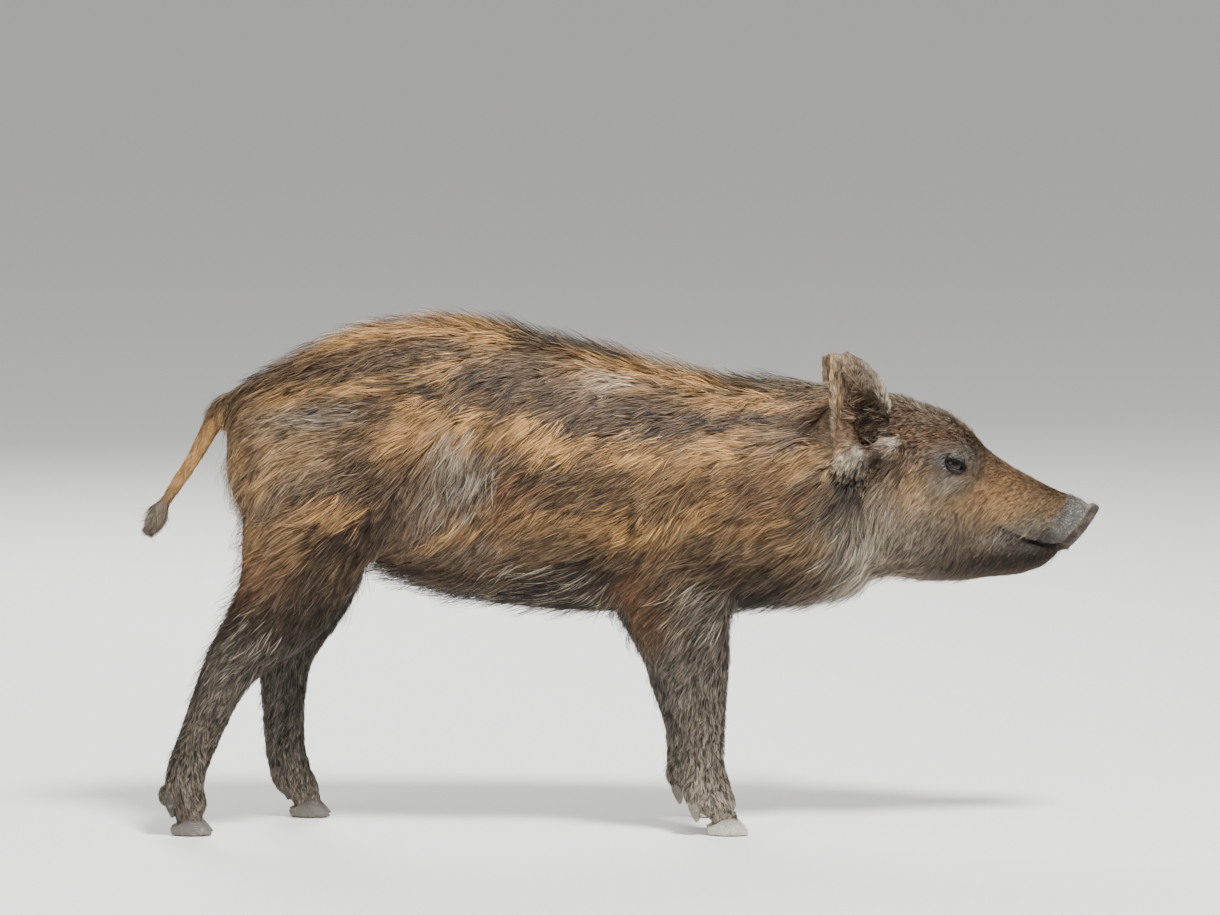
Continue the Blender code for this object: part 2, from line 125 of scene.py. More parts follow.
def sculpt(shape):
    """Moves the hide's points by one rule, which gets their places and normals."""
    place_points(skin, shape(points_of(skin), rows_of(skin.data.vertex_normals, "vector")))


# %% [markdown]
# ## The skin
# A hide has no joints in it, so the parted solids first become one body again. Copies of the
# flesh are joined and voxel remeshed, which melts the parting gaps away and gives an even grain.
# Copies of the eyeballs and hooves go in too: they fill their seats, so that the hide closes
# over the ball as lids do and runs on inside the horn.
# The grain then follows need: the head is divided finer, the trunk stays coarse because hair
# will cover it.

# %% One body from the flesh
FLESH = [
    "trunk", "neck", "head", "lower_jaw", "snout_disc", "ear_left", "ear_right", "tail",
    "foreleg_left", "foreleg_right", "hind_leg_left", "hind_leg_right", "tail_tuft",
]
HORN = [node for node in NODES if node.startswith(("hoof", "dewclaw"))]
GRAIN = 0.0017


def copied(node):
    """A free copy of a CAD node, merged, because the node itself is never touched."""
    twin = NODES[node].copy()
    twin.data = NODES[node].data.copy()
    twin.parent = None
    for key in list(twin.keys()):
        del twin[key]
    bpy.context.scene.collection.objects.link(twin)
    shell = bmesh.new()
    shell.from_mesh(twin.data)
    bmesh.ops.remove_doubles(shell, verts=shell.verts, dist=1e-5)
    shell.to_mesh(twin.data)
    shell.free()
    twin.data.materials.clear()
    return twin


def seat(node):
    """The flesh inside a hoof or dewclaw: drawn in towards the ground, and short in a dewclaw."""
    inner = copied(node)
    places = points_of(inner)
    middle, low, high = places.mean(axis=0), places[:, 2].min(), places[:, 2].max()
    level = (places[:, 2:] - low) / (high - low)
    drawn = middle + (places - middle) * [0.74, 0.74, 1.0] + [0, 0, 0.003]
    if node.startswith("dewclaw"):
        drawn = middle + (places - middle) * [0.80, 0.80, 1.0] + [0, 0, 0.42 * (high - low)]
    place_points(inner, blend(drawn, places, level))
    return inner


skin = copied(FLESH[0])
only(skin)
for node in [*FLESH[1:], "eye_left", "eye_right"]:
    copied(node).select_set(True)
for node in HORN:
    seat(node).select_set(True)
bpy.ops.object.join()
skin.name = "skin"
skin.data.name = "skin"
apply_modifier(skin, "REMESH", mode="VOXEL", voxel_size=GRAIN)
apply_modifier(skin, "SMOOTH", factor=0.5, iterations=14)
print(f"skin: {len(skin.data.vertices)} points after the remesh, {time.time() - STARTED:.1f} s")

# %% [markdown]
# An even grain is wasteful on the barrel and too coarse at the eye. In edit mode the faces
# behind the head are picked by place and thinned, and those of the face are divided, twice
# where lids, nostrils and lips will be cut.


# %% Coarse body, fine face
EYE = np.array([0.2805, 0.0345, 0.3125])
EYE_RADIUS = 0.0090
DISC = np.array([0.3915, 0.0, 0.2562])
DISC_FACING = np.array([math.cos(math.radians(39)), 0, -math.sin(math.radians(39))])
DISC_UP = np.array([math.sin(math.radians(39)), 0, math.cos(math.radians(39))])
DISC_HALF = (0.0226, 0.0238)     # half its width and half its height
MOUTH = np.array([(0.3230, 0.2585), (0.3345, 0.2525), (0.3455, 0.2468), (0.3574, 0.2425),
                  (0.3660, 0.2412), (0.3740, 0.2418)])


def face_places():
    """The middle of each face of the hide, as an array with a row each."""
    return rows_of(skin.data.polygons, "center")


def edit_faces(chosen, tool, **settings):
    """Selects faces of the hide by a yes or no for each, as a box select would, and uses a tool."""
    only(skin)
    bpy.ops.object.mode_set(mode="EDIT")
    bpy.ops.mesh.select_mode(type="FACE")
    bpy.ops.mesh.select_all(action="DESELECT")
    bpy.ops.object.mode_set(mode="OBJECT")
    skin.data.polygons.foreach_set("select", np.asarray(chosen, bool))
    bpy.ops.object.mode_set(mode="EDIT")
    bpy.ops.mesh.select_mode(type="FACE")
    tool(**settings)
    bpy.ops.object.mode_set(mode="OBJECT")


def rub(chosen, rounds):
    """Rubs the chosen faces smooth, as a thumb does."""
    edit_faces(chosen, bpy.ops.mesh.vertices_smooth, factor=0.5, repeat=rounds)


def distance_to_line(places, line):
    """How far each (x, z) place is from an open line of (x, z) points, and how far along it."""
    best, along, run = np.full(len(places), 9.0), np.zeros(len(places)), 0.0
    for start, end in zip(line[:-1], line[1:]):
        way = end - start
        length = np.linalg.norm(way)
        t = np.clip((places - start) @ way / length**2, 0, 1)
        away = np.linalg.norm(places - start - t[:, None] * way, axis=1)
        along = np.where(away < best, run + t * length, along)
        best = np.minimum(best, away)
        run += length
    return best, along / run


def near_line(places, line, radius):
    """1 on a line seen from the side, fading beside it."""
    return bump(distance_to_line(places[:, [0, 2]], line)[0], radius)


def folded(places):
    """The places with both sides of the animal laid on one, y upward from the middle."""
    return places * [1, 0, 1] + np.abs(places[:, 1:2]) * [0, 1, 0]


# lowest and highest z, last x on the head or none for the body, share of faces kept
THINNED = ((-0.010, 0.055, None, 0.34), (0.055, 0.600, None, 0.05), (0.150, 0.315, 0.258, 0.30))
for low, high, last_x, kept_share in THINNED:
    x, _, z = face_places().T
    part = x < blend(0.188, 0.215, step(z, 0.33, 0.31))
    if last_x:
        part = ~part & (x < last_x)
    edit_faces(part & (z > low) & (z < high), bpy.ops.mesh.decimate, ratio=kept_share)
for reach in (0.019, 0.0145):
    middles = face_places()
    to_eye = np.linalg.norm(folded(middles) - EYE, axis=1)
    to_disc = (middles - DISC) @ DISC_FACING
    to_mouth = distance_to_line(middles[:, [0, 2]], MOUTH)[0]
    edit_faces((to_eye < reach) | (to_disc > -reach * 0.45) | (to_mouth < reach / 4),
               bpy.ops.mesh.subdivide, number_cuts=1)
rub((face_places() - DISC) @ DISC_FACING > -0.011, 9)
foot_z = face_places()[:, 2]
rub((foot_z > 0.011) & (foot_z < 0.046), 15)
print(f"skin: {len(skin.data.vertices)} points, {len(skin.data.polygons)} faces")

# %% [markdown]
# The solids reach out to the tips of the hair. The hide under it lies deeper: a finger's breadth
# under the mane, less on the flanks, next to nothing on the feet and ears, and nothing on the
# bare disc. One rule gives the coat's depth at any place. It is used here to let the skin sink,
# and again when hair is raised from it.

# %% The coat's depth
LEG_TOP = 0.215                  # where the legs leave the body
CARPUS = 0.105                   # below it the hair is short
HAIR_LINE = 0.0140               # below it there is only horn
TAIL = np.array([(-0.325, 0.367), (-0.3445, 0.3475), (-0.3595, 0.3195), (-0.3765, 0.2935),
                 (-0.3875, 0.2775), (-0.3985, 0.2550), (-0.4005, 0.2480)])
# how deep the hide lies under the tips of the hair on each part, in metres; belly and mane are
# added to the trunk, the horn to the foot, and the pastern is taken from it
DEPTH = {
    "trunk": 0.0075, "belly": 0.0015, "mane": 0.0045, "shank": 0.0026, "thigh": 0.0062, "foot": 0.0010,
    "pastern": 0.0030, "horn": 0.0012, "ruff": 0.0070, "cheek": 0.0030, "muzzle": 0.0016, "crown": 0.0030,
    "ear": 0.0004, "tail": 0.0019, "tuft": 0.0062,
}


def tail_share(places):
    """1 on the tail, fading at its root, and how far down the tail a place is."""
    away, along = distance_to_line(places[:, [0, 2]], TAIL)
    reach = blend(0.0100, 0.0160, step(along, 0.60, 0.78))
    return step(np.hypot(away, places[:, 1]), reach + 0.004, reach) * step(along, 0.03, 0.14), along


def mane(amount, x, y, z):
    """An amount along the top of the back and neck, fading round it."""
    return amount * step(y, 0.030, 0.008) * step(z, 0.36, 0.385) * step(x, -0.16, -0.06)


def above_legs(z):
    return step(z, LEG_TOP - 0.035, LEG_TOP + 0.02)


def on_hind(x):
    return step(x, -0.10, -0.20)


def coat_depth(places):
    """How deep the hide lies under the tips of the hair, in metres."""
    x, y, z = folded(places).T
    body = DEPTH["trunk"] + DEPTH["belly"] * step(z, 0.30, 0.22)
    body = body + mane(DEPTH["mane"], x, y, z) * step(x, 0.195, 0.165)
    leg = blend(DEPTH["shank"], DEPTH["thigh"], step(z, CARPUS - 0.02, LEG_TOP - 0.02))
    leg = blend(DEPTH["foot"], leg, step(z, 0.018, 0.050))
    leg = leg - DEPTH["pastern"] * bump(z - 0.0275, 0.0065) + DEPTH["horn"] * step(z, 0.015, 0.009)
    depth = blend(leg, body, above_legs(z))
    ruff = blend(DEPTH["ruff"], DEPTH["cheek"], step(x, 0.215, 0.275))
    face = blend(ruff, DEPTH["muzzle"], step(x, 0.275, 0.330))
    face = face * step((places - DISC) @ DISC_FACING, -0.012, -0.040)
    face = face * step(np.linalg.norm(folded(places) - EYE, axis=1), 0.013, 0.030)
    depth = blend(depth, face, step(x, 0.175, 0.225) * step(z, 0.19, 0.20))
    depth = blend(depth, DEPTH["crown"], step(z, 0.345, 0.36) * step(x, 0.165, 0.180))
    ear = (z > 0.318) & (x > 0.163) & (x < 0.236) & (y > 0.0445 - 0.25 * np.maximum(z - 0.345, 0))
    depth = np.where(ear, DEPTH["ear"], depth)
    tail, along = tail_share(places)
    return blend(depth, blend(DEPTH["tail"], DEPTH["tuft"], bump(along - 0.90, 0.15)), tail)


def settle(values, rounds):
    """Evens a value out over the hide, so that neighbours differ little."""
    edges = np.empty(len(skin.data.edges) * 2, np.int32)
    skin.data.edges.foreach_get("vertices", edges)
    first, second = edges.reshape(-1, 2).T
    count = np.bincount(first, minlength=len(values)) + np.bincount(second, minlength=len(values))
    for _ in range(rounds):
        total = np.bincount(first, values[second], len(values))
        total += np.bincount(second, values[first], len(values))
        values = 0.5 * values + 0.5 * total / np.maximum(count, 1)
    return values


def fuller(places, normals):
    """Where the body is fuller than the coarse shape: brisket, belly and brow."""
    x, y, z = folded(places).T
    under = step(normals[:, 2], -0.1, -0.6) * step(z, 0.250, 0.230) * step(z, 0.165, 0.180)
    brisket = 0.0065 * under * bump(x - 0.155, 0.060) + 0.0040 * under * bump(x + 0.060, 0.075)
    brow = 0.0058 * bump(np.hypot((x - 0.288) / 1.5, (z - 0.350) / 1.2), 0.022) * step(y, 0.040, 0.018)
    return brisket + brow * step(normals[:, 2], 0.1, 0.5)


def lay_under_hair(places, normals):
    return places + settle(fuller(places, normals) - coat_depth(places), 12)[:, None] * normals


sculpt(lay_under_hair)
print(f"hide laid under the hair, {time.time() - STARTED:.1f} s")

# %% [markdown]
# Above each hoof the pastern is full: hair and skin swell over the edge of the horn. The points
# of the feet are pushed out level, most of all just above the hair line.

# %% Pasterns
def shape_pasterns(places, normals):
    x, _, z = places.T
    swell = 0.0020 * bump(z - 0.0235, 0.0085) * step(z, 0.050, 0.040)
    swell = swell + 0.0026 * bump(z - 0.0225, 0.0060) * step(normals[:, 0], 0.1, 0.6)
    heel = blend(0.0026, 0.0004, on_hind(x))
    swell = swell + heel * bump(z - 0.0345, 0.0105) * step(-normals[:, 0], 0.1, 0.6)
    return places + swell[:, None] * normals * [1.0, 0.8, 0.2]


sculpt(shape_pasterns)

# %% [markdown]
# The face is pushed into form as a sculptor works clay: every point moves by a rule that depends
# on its place. Each eye lies under two lids, so points near it are brought to a shell round the
# eyeball, and inside the almond between the lids they sink behind the ball. Both sides are laid
# on each other by the sign of y, so one rule shapes both eyes.

# %% Lids
EYE_OUT = unit(np.array([0.20, 0.965, 0.10]))
EYE_ALONG = unit(np.cross(np.cross(EYE_OUT, [0.915, 0, -0.40]), EYE_OUT))
EYE_UP = np.cross(EYE_OUT, EYE_ALONG) * -1
CORNERS = (0.0122, 0.0096)       # from the middle of the eye to its inner and outer corner
LID_ARCH = (0.0031, 0.0034)      # how far the lids rise and sink at the middle
LID = 0.0011                     # how thick a lid is
LID_FOLD = (0.00055, 0.0027)     # how high the folds in the lids are, and how far apart


def eye_frame(places):
    """Along the gap between the lids, up across it, and out of the head, from the eye's middle."""
    away = folded(places) - EYE
    return away @ EYE_ALONG, away @ EYE_UP, away @ EYE_OUT


def lid_gap(along, up):
    """Above 0 between the lids: how far a place is from the nearer lid's edge."""
    reach = np.where(along > 0, CORNERS[0], CORNERS[1])
    share = np.clip(np.abs(along) / reach, 0, 1.6)
    arch = np.clip(1 - share**2, 0, 1)
    top = LID_ARCH[0] * arch ** np.where(along > 0, 1.3, 0.75)
    low = LID_ARCH[1] * arch ** np.where(along > 0, 1.0, 0.75)
    return np.minimum(top - up, up + low) - np.clip(share - 1, 0, 1) * reach


def shape_lids(places, _):
    along, up, out = eye_frame(places)
    ring = np.hypot(along * 0.86, up)
    gap = lid_gap(along, up)
    away = folded(places) - EYE
    radius = np.linalg.norm(away, axis=1)
    fold = LID_FOLD[0] * np.cos(gap * 2 * math.pi / LID_FOLD[1])
    fold = fold * step(gap, 0, -0.0016) * step(gap, -0.0105, -0.006)
    lid = EYE_RADIUS + LID + 0.0009 * bump(gap + 0.0012, 0.0011) + fold
    lid = lid + 0.0012 * bump(up - 0.0082, 0.0035) * step(along, 0.012, 0.004)
    share = step(ring, 0.0185, 0.0100) * step(out, -0.002, 0.003)
    target = blend(radius, lid, share)
    sunk = step(gap, -0.0002, 0.0008) * step(out, 0, 0.002)
    target = blend(target, EYE_RADIUS - 0.0024, sunk)
    moved = EYE + unit(away) * target[:, None]
    moved[:, 1] *= np.where(places[:, 1] < 0, -1, 1)
    near = (ring < 0.02) & (out > -0.004) & (radius < 0.024)
    return np.where(near[:, None], moved, places)


def shape_socket(places, normals):
    """Bone and fat round the eye, so that the lids rise from the face without a step."""
    along, up, out = eye_frame(places)
    mound = 0.0026 * bump(np.hypot(along * 0.8, up) - 0.0115, 0.0075) * step(out, -0.014, -0.002)
    brow = 0.0016 * bump(np.hypot(along + 0.004, (up - 0.014) * 1.3), 0.010) * step(out, -0.02, -0.008)
    return places + (mound + brow)[:, None] * normals


sculpt(shape_socket)
sculpt(shape_lids)

# %% [markdown]
# The muzzle ends in a gristle disc. It carries two nostrils, a raised rim and the wrinkles of
# bare hide behind it, which run round the muzzle in step with the disc. The mouth is a groove
# under a full upper lip, and a tear line leaves the inner corner of the eye.

# %% Disc, nostrils, lips and wrinkles
NOSTRIL = (0.0092, 0.0012)       # from the disc's middle: sideways and up
NOSTRIL_HALF = (0.0040, 0.0056)  # half its width and half its height
NOSTRIL_DEPTH = 0.0115
WRINKLE_STEP, FINE_STEP = 0.0047, 0.0021  # from one ridge of the bare hide to the next
TEAR = np.array([(0.2925, 0.3075), (0.2995, 0.3045), (0.3070, 0.3030)])


def disc_frame(places):
    """Ahead of the disc, up along it, and sideways, from its middle."""
    away = places - DISC
    return away @ DISC_FACING, away @ DISC_UP, away[:, 1]


def nostril_ring(up, side):
    across = np.abs(side) - NOSTRIL[0] - 0.25 * (up - NOSTRIL[1])
    return np.hypot(across / NOSTRIL_HALF[0], (up - NOSTRIL[1]) / NOSTRIL_HALF[1])


def wrinkle(ahead, up, side):
    """Ridges round the bare end of the muzzle, broken and wavy, from -1 to 1."""
    wave = ahead / WRINKLE_STEP + 0.55 * np.sin(side * 190 + up * 60) + 0.4 * np.sin(up * 240 - side * 90)
    fine = ahead / FINE_STEP + 0.9 * np.sin(up * 330 + 2) + 0.8 * np.sin(side * 410)
    return 0.7 * np.cos(2 * math.pi * wave) + 0.3 * np.cos(2 * math.pi * fine)


def shape_snout(places, normals):
    ahead, up, side = disc_frame(places)
    ring = np.hypot(side / DISC_HALF[0], up / DISC_HALF[1])
    face = step(ahead, -0.0045, -0.0015) * step(ring, 1.12, 1.0)
    rim = 0.0013 * bump(ring - 0.92, 0.11) - 0.0011 * bump(ring, 0.55)
    ridge = 0.0010 * bump(nostril_ring(up, side) - 1.25, 0.3)
    pits = 0.00022 * np.sin(up * 900 + 3 * np.sin(side * 700)) * np.sin(side * 1100)
    hole = step(nostril_ring(up, side), 1.05, 0.35)
    forward = face * (rim + ridge + pits * (1 - hole) - NOSTRIL_DEPTH * hole)
    places = places + forward[:, None] * DISC_FACING
    waist = -0.0013 * bump(ahead + 0.0085, 0.0028) * step(ring, 1.6, 1.2)
    bare = step(ahead, -0.046, -0.030) * step(ahead, -0.0065, -0.0095)
    grooves = 0.00058 * wrinkle(ahead, up, side) * bare * step(up, -0.022, -0.004)
    return places + (waist + grooves)[:, None] * normals


def shape_mouth(places, normals):
    x, y, z = folded(places).T
    away, along = distance_to_line(places[:, [0, 2]], MOUTH)
    height = z - np.interp(x, MOUTH[:, 0], MOUTH[:, 1])
    front = step(x, 0.3205, 0.330) * step(x, 0.385, 0.378)
    upper = 0.0017 * bump(height - 0.0042, 0.0034) * step(height, 0.0002, 0.0022)
    lower = 0.0008 * bump(height + 0.0040, 0.0026) * step(height, -0.0002, -0.0015)
    groove = -0.0042 * bump(away, 0.00125) * blend(0.55, 1, step(along, 0.05, 0.5))
    dimple = -0.0022 * bump(np.hypot(x - 0.3225, z - 0.259), 0.0035)
    line = -0.0008 * near_line(places, TEAR, 0.0013) * step(y, 0.012, 0.02)
    return places + (front * (upper + lower) + groove + dimple + line)[:, None] * normals


sculpt(shape_snout)
sculpt(shape_mouth)

# %% [markdown]
# An ear is a cupped sheet on a fleshy foot. Its hollow narrows to the ear's passage, a lobe
# closes it below, and a thick rim runs up its front edge. The foot is first rubbed smooth, as a
# thumb does, and then the lobe is raised and the passage pressed in.

# %% Ears
EAR_FOOT = np.array([0.2000, 0.0500, 0.3220])
EAR_RIM = np.array([(0.1745, 0.335), (0.1738, 0.385), (0.1775, 0.402), (0.1860, 0.4090), (0.1990, 0.4030),
                    (0.2130, 0.3920), (0.2230, 0.3770), (0.2275, 0.3620), (0.2285, 0.3480)])
EAR_FOLD = np.array([(0.1890, 0.4000), (0.1985, 0.3860), (0.2085, 0.3660), (0.2165, 0.3440)])
EAR_CREASE = np.array([(0.1850, 0.3890), (0.1930, 0.3785), (0.2005, 0.3690), (0.2040, 0.3560)])
EAR_TROUGH = np.array([(0.2060, 0.3720), (0.2075, 0.3580), (0.2070, 0.3440)])
EAR_HOLE = (0.2062, 0.3440)


def on_ear(places):
    x, y, z = folded(places).T
    return (z > 0.330) & (x > 0.160) & (x < 0.240) & (y > 0.0430 - 0.20 * np.maximum(z - 0.345, 0))


def near_ear(places):
    """1 on the ear's foot, round the passage and the lobe, and 0 away from them."""
    x, y, z = folded(places).T
    ring = np.hypot((x - 0.1990) / 0.0290, (z - 0.3240) / 0.0360)
    return step(ring, 1.05, 0.75) * step(y, 0.034, 0.040)


def inside_rim(places):
    """How far in from the ear's rim, seen from the side."""
    return distance_to_line(places[:, [0, 2]], EAR_RIM)[0]


def shape_ear(places, normals):
    x, y, z = folded(places).T
    outward = np.stack([0 * x, np.where(places[:, 1] < 0, -1, 1), 0 * x], axis=1)
    shown = step(normals[:, 1] * outward[:, 1], 0.1, 0.5) * step(y, 0.034, 0.040)
    lobe = 0.0058 * bump(np.hypot((x - 0.1960) / 1.6, z - 0.3180), 0.0080)
    lobe = lobe - 0.0046 * bump(np.hypot((x - 0.1950) / 1.5, z - 0.3015), 0.0075)
    passage = -0.0120 * bump(np.hypot((x - 0.2065 - 0.3 * (z - 0.342)) / 0.42, z - 0.342), 0.0125)
    inside = inside_rim(places)
    cup = -0.0066 * step(inside, 0.0015, 0.0150) * step(z, 0.330, 0.350) * step(z, 0.408, 0.390)
    rim = 0.0012 * bump(inside - 0.003, 0.003) * on_ear(places)
    fold = 0.0042 * near_line(places, EAR_FOLD, 0.0044)
    crease = -0.0026 * near_line(places, EAR_CREASE, 0.0040)
    passage = passage - 0.0050 * near_line(places, EAR_TROUGH, 0.0110)
    shove = shown * (lobe + passage + fold + crease) + on_ear(places) * cup
    return places + shove[:, None] * outward + rim[:, None] * normals


rub(np.linalg.norm((folded(face_places()) - EAR_FOOT) * [1, 0.6, 1.25], axis=1) < 0.030, 12)
x, _, z = face_places().T
rub((np.hypot(x - 0.174, z - 0.409) < 0.013) & (z > 0.385), 16)
sculpt(shape_ear)
x, y, z = folded(face_places()).T
rub((np.hypot(x - 0.208, z - 0.359) < 0.0155) & (y > 0.040), 7)
only(skin)
bpy.ops.object.shade_smooth()
skin.data.calc_loop_triangles()
print(f"skin: {len(skin.data.loop_triangles)} triangles, {time.time() - STARTED:.1f} s")

# %% [markdown]
# ## The lie of the coat
# Hair grows from the nose backward and down. Its lie is given as an angle below level at a
# handful of places on the side of the animal, and every place between takes a weighted share of
# its neighbours' angles. The direction is then laid flat on the hide. The ears have an axis of
# their own.

# %% Angles of the hair
# x and z in millimetres, and degrees below straight back
LIE = np.array([
    (-320, 385, 40), (-290, 400, 24), (-230, 415, 12), (-150, 425, 6), (-90, 410, 12), (-30, 400, 22),
    (50, 380, 6), (110, 380, 8), (165, 378, 14), (-330, 330, 54), (-290, 355, 22), (-240, 355, 12),
    (-240, 385, 12), (-190, 375, 14), (-130, 390, 18), (-190, 335, 34), (-300, 305, 44),
    (-250, 310, 28), (-290, 260, 38), (-220, 270, 30), (-165, 355, 40), (-135, 335, 74),
    (-120, 300, 62), (-165, 285, 62), (-110, 360, 42), (-60, 350, 54), (-15, 335, 46), (30, 325, 38),
    (80, 322, 32), (120, 340, 16), (160, 320, 20), (-50, 375, 26), (0, 358, 22), (60, 352, 16),
    (-50, 305, 18), (10, 300, 26), (65, 285, 54), (110, 290, 26), (150, 280, 14), (140, 245, 14),
    (100, 235, 26), (50, 250, 48), (-110, 265, 42), (-70, 272, 26), (-20, 268, 22), (-130, 235, 24),
    (-50, 230, 12), (-140, 212, 34), (-40, 200, 14), (10, 225, 58), (15, 195, 62), (90, 205, 24),
    (120, 210, 16), (160, 212, 30), (50, 195, 44), (178, 272, 62), (192, 235, 60), (172, 212, 38),
    (208, 265, 78), (224, 285, 70), (-290, 215, 48), (-320, 150, 46), (-350, 110, 70), (-365, 50, 86),
    (-250, 200, 60), (-285, 130, 76), (-285, 50, 86), (55, 160, 62), (65, 110, 78), (75, 45, 84),
    (215, 372, 14), (250, 350, 22), (285, 328, 28), (330, 295, 34), (370, 275, 34), (240, 305, 54),
    (270, 285, 48), (310, 275, 40), (350, 255, 34), (250, 250, 60), (290, 240, 62), (330, 232, 48),
    (360, 235, 30), (225, 222, 46), (-345, 350, 62), (-370, 305, 58), (-395, 260, 66),
]) / [1000, 1000, 1]
LIE_REACH = 0.026                # how far an angle is heard round its place
EAR_WAY = {-1: np.array([-0.10, -0.12, 0.98]), 1: np.array([-0.10, 0.30, 0.94])}
rng = np.random.default_rng(7)


def waves(places, size, seed):
    """A smooth field that wanders between about -1 and 1 over lengths of the given size."""
    draw = np.random.default_rng(seed)
    total = np.zeros(len(places))
    for _ in range(7):
        way = unit(draw.normal(size=3)) * 2 * math.pi / size * draw.uniform(0.6, 1.5)
        total += np.sin(places @ way + draw.uniform(0, 6.3))
    return total / 2.6


def lie_of(places, ups):
    """The direction of the hair at each place, flat on the hide."""
    flat = places[:, [0, 2]]
    apart = ((flat[:, None, :] - LIE[None, :, :2]) ** 2).sum(axis=2)
    share = np.exp(-apart / LIE_REACH**2) + 1e-7 / (apart + 1e-4)
    angle = (share * np.radians(LIE[:, 2])).sum(axis=1) / share.sum(axis=1)
    angle = angle + 0.13 * waves(places, 0.060, 3) + 0.12 * waves(places, 0.022, 4)
    way = np.stack([-np.cos(angle), 0.16 * waves(places, 0.05, 5), -np.sin(angle)], axis=1)
    ear = on_ear(places)
    ear_way = np.where(places[:, 1:2] < 0, EAR_WAY[-1], EAR_WAY[1])
    fan = unit((places - [0.2125, 0, 0.3330]) * [1, 0, 1])
    ear_way = blend(ear_way, fan, step(ups[:, 1:2] * np.sign(places[:, 1:2]), 0.0, 0.4))
    foot_fan = unit((places - [0.2140, 0, 0.3460]) * [1, 0, 1] + [-0.004, 0, -0.006])
    way = blend(way, foot_fan, (near_ear(places) * step(places[:, 0], 0.2140, 0.2080))[:, None])
    way = np.where(ear[:, None], ear_way, way)
    way = way - (way * ups).sum(axis=1, keepdims=True) * ups
    return unit(way)


def turned(ways, ups, angle):
    """The directions turned on the hide by an angle each."""
    return ways * np.cos(angle)[:, None] + np.cross(ups, ways) * np.sin(angle)[:, None]


# %% [markdown]
# A hair follows the body it lies on. So the hide is kept as a tree of faces that gives, for any
# place in the air, the nearest place on the hide and which way is up there.

# %% The hide as a surface to walk on
skin_points, skin_ups = points_of(skin), rows_of(skin.data.vertex_normals, "vector")
corners = np.empty(len(skin.data.loop_triangles) * 3, np.int32)
skin.data.loop_triangles.foreach_get("vertices", corners)
corners = corners.reshape(-1, 3)
hide = BVHTree.FromPolygons(skin_points.tolist(), corners.tolist())
triangle_ups = unit(skin_ups[corners].sum(axis=1))
triangle_middles = skin_points[corners].mean(axis=1)
sides = skin_points[corners[:, 1:]] - skin_points[corners[:, :1]]
triangle_areas = np.linalg.norm(np.cross(sides[:, 0], sides[:, 1]), axis=1) / 2


def on_hide(places):
    """The nearest place on the hide to each given one, and the hide's up there."""
    found = [hide.find_nearest(place) for place in places.tolist()]
    return (np.array([place[:] for place, _, _, _ in found]),
            triangle_ups[[index for _, _, index, _ in found]])


print(f"the hide measures {triangle_areas.sum():.3f} square metres")

# %% [markdown]
# ## The markings
# A young boar is striped: four or five pale bands run from shoulder to haunch on a darker
# ground, blurred here because the first coat is being shed. Each band is a line of places on the
# side of the body, measured round the barrel, so that it keeps its width where the back curves
# over. Patches are soft ellipses seen from the side. Six masks come out, and the hide and every
# lock of hair carry the same six.

# %% Bands and patches
trunk_points = np.concatenate([points_of(NODES["trunk"]), points_of(NODES["neck"])])
PROFILE_X = np.linspace(-0.32, 0.20, 14)
slices = [trunk_points[np.abs(trunk_points[:, 0] - x) < 0.022][:, 2] for x in PROFILE_X]
BACK_Z, BELLY_Z = np.array([(heights.max(), heights.min()) for heights in slices]).T
BARREL_RADIUS = 0.095
# strength, half width and places (x, z) of each line, in millimetres
STRIPES = [
    (0.9, 8.5, [(-330, 384), (-295, 403), (-230, 416), (-187, 423), (-140, 425), (-90, 413)]),
    (0.75, 5, [(-300, 368), (-250, 376), (-187, 386), (-150, 394), (-105, 404)]),
    (1, 10, [(-22, 391), (10, 386), (50, 379), (110, 377), (172, 375)]),
    (0.6, 6, [(85, 366), (125, 363), (160, 362)]),
    (0.85, 10, [(-182, 347), (-150, 357), (-115, 361), (-60, 346), (-17, 334), (25, 325), (70, 323),
                (110, 328), (165, 318)]),
    (0.55, 7, [(-145, 262), (-105, 280), (-70, 273), (-30, 266), (25, 272)]),
    (0.7, 6, [(-323, 288), (-300, 302), (-272, 317), (-235, 324)]),
    (0.55, 5.5, [(-335, 345), (-318, 330), (-312, 312)]),
    (0.7, 6.5, [(-318, 262), (-280, 268), (-245, 280), (-215, 282)]),
    (0.45, 5, [(-305, 335), (-260, 338), (-215, 338)]),
    (0.45, 5.5, [(-310, 238), (-270, 248), (-240, 258)]),
    (0.45, 6, [(35, 262), (60, 272), (85, 288)]),
    (0.4, 5.5, [(110, 268), (150, 262), (175, 258)]),
]
DARKER = [
    (0.75, 5.5, [(-305, 385), (-250, 394), (-200, 402), (-160, 406), (-110, 408)]),
    (0.85, 6, [(-240, 368), (-187, 376), (-145, 383), (-100, 389), (-55, 388)]),
    (0.8, 9, [(-70, 374), (-17, 357), (40, 351), (120, 350), (170, 344)]),
    (0.85, 11, [(-75, 315), (-40, 311), (0, 303), (60, 298), (110, 304)]),
    (0.6, 7, [(-310, 318), (-270, 300), (-230, 302), (-195, 312)]),
    (0.6, 8, [(-240, 262), (-200, 290), (-175, 320)]),
]
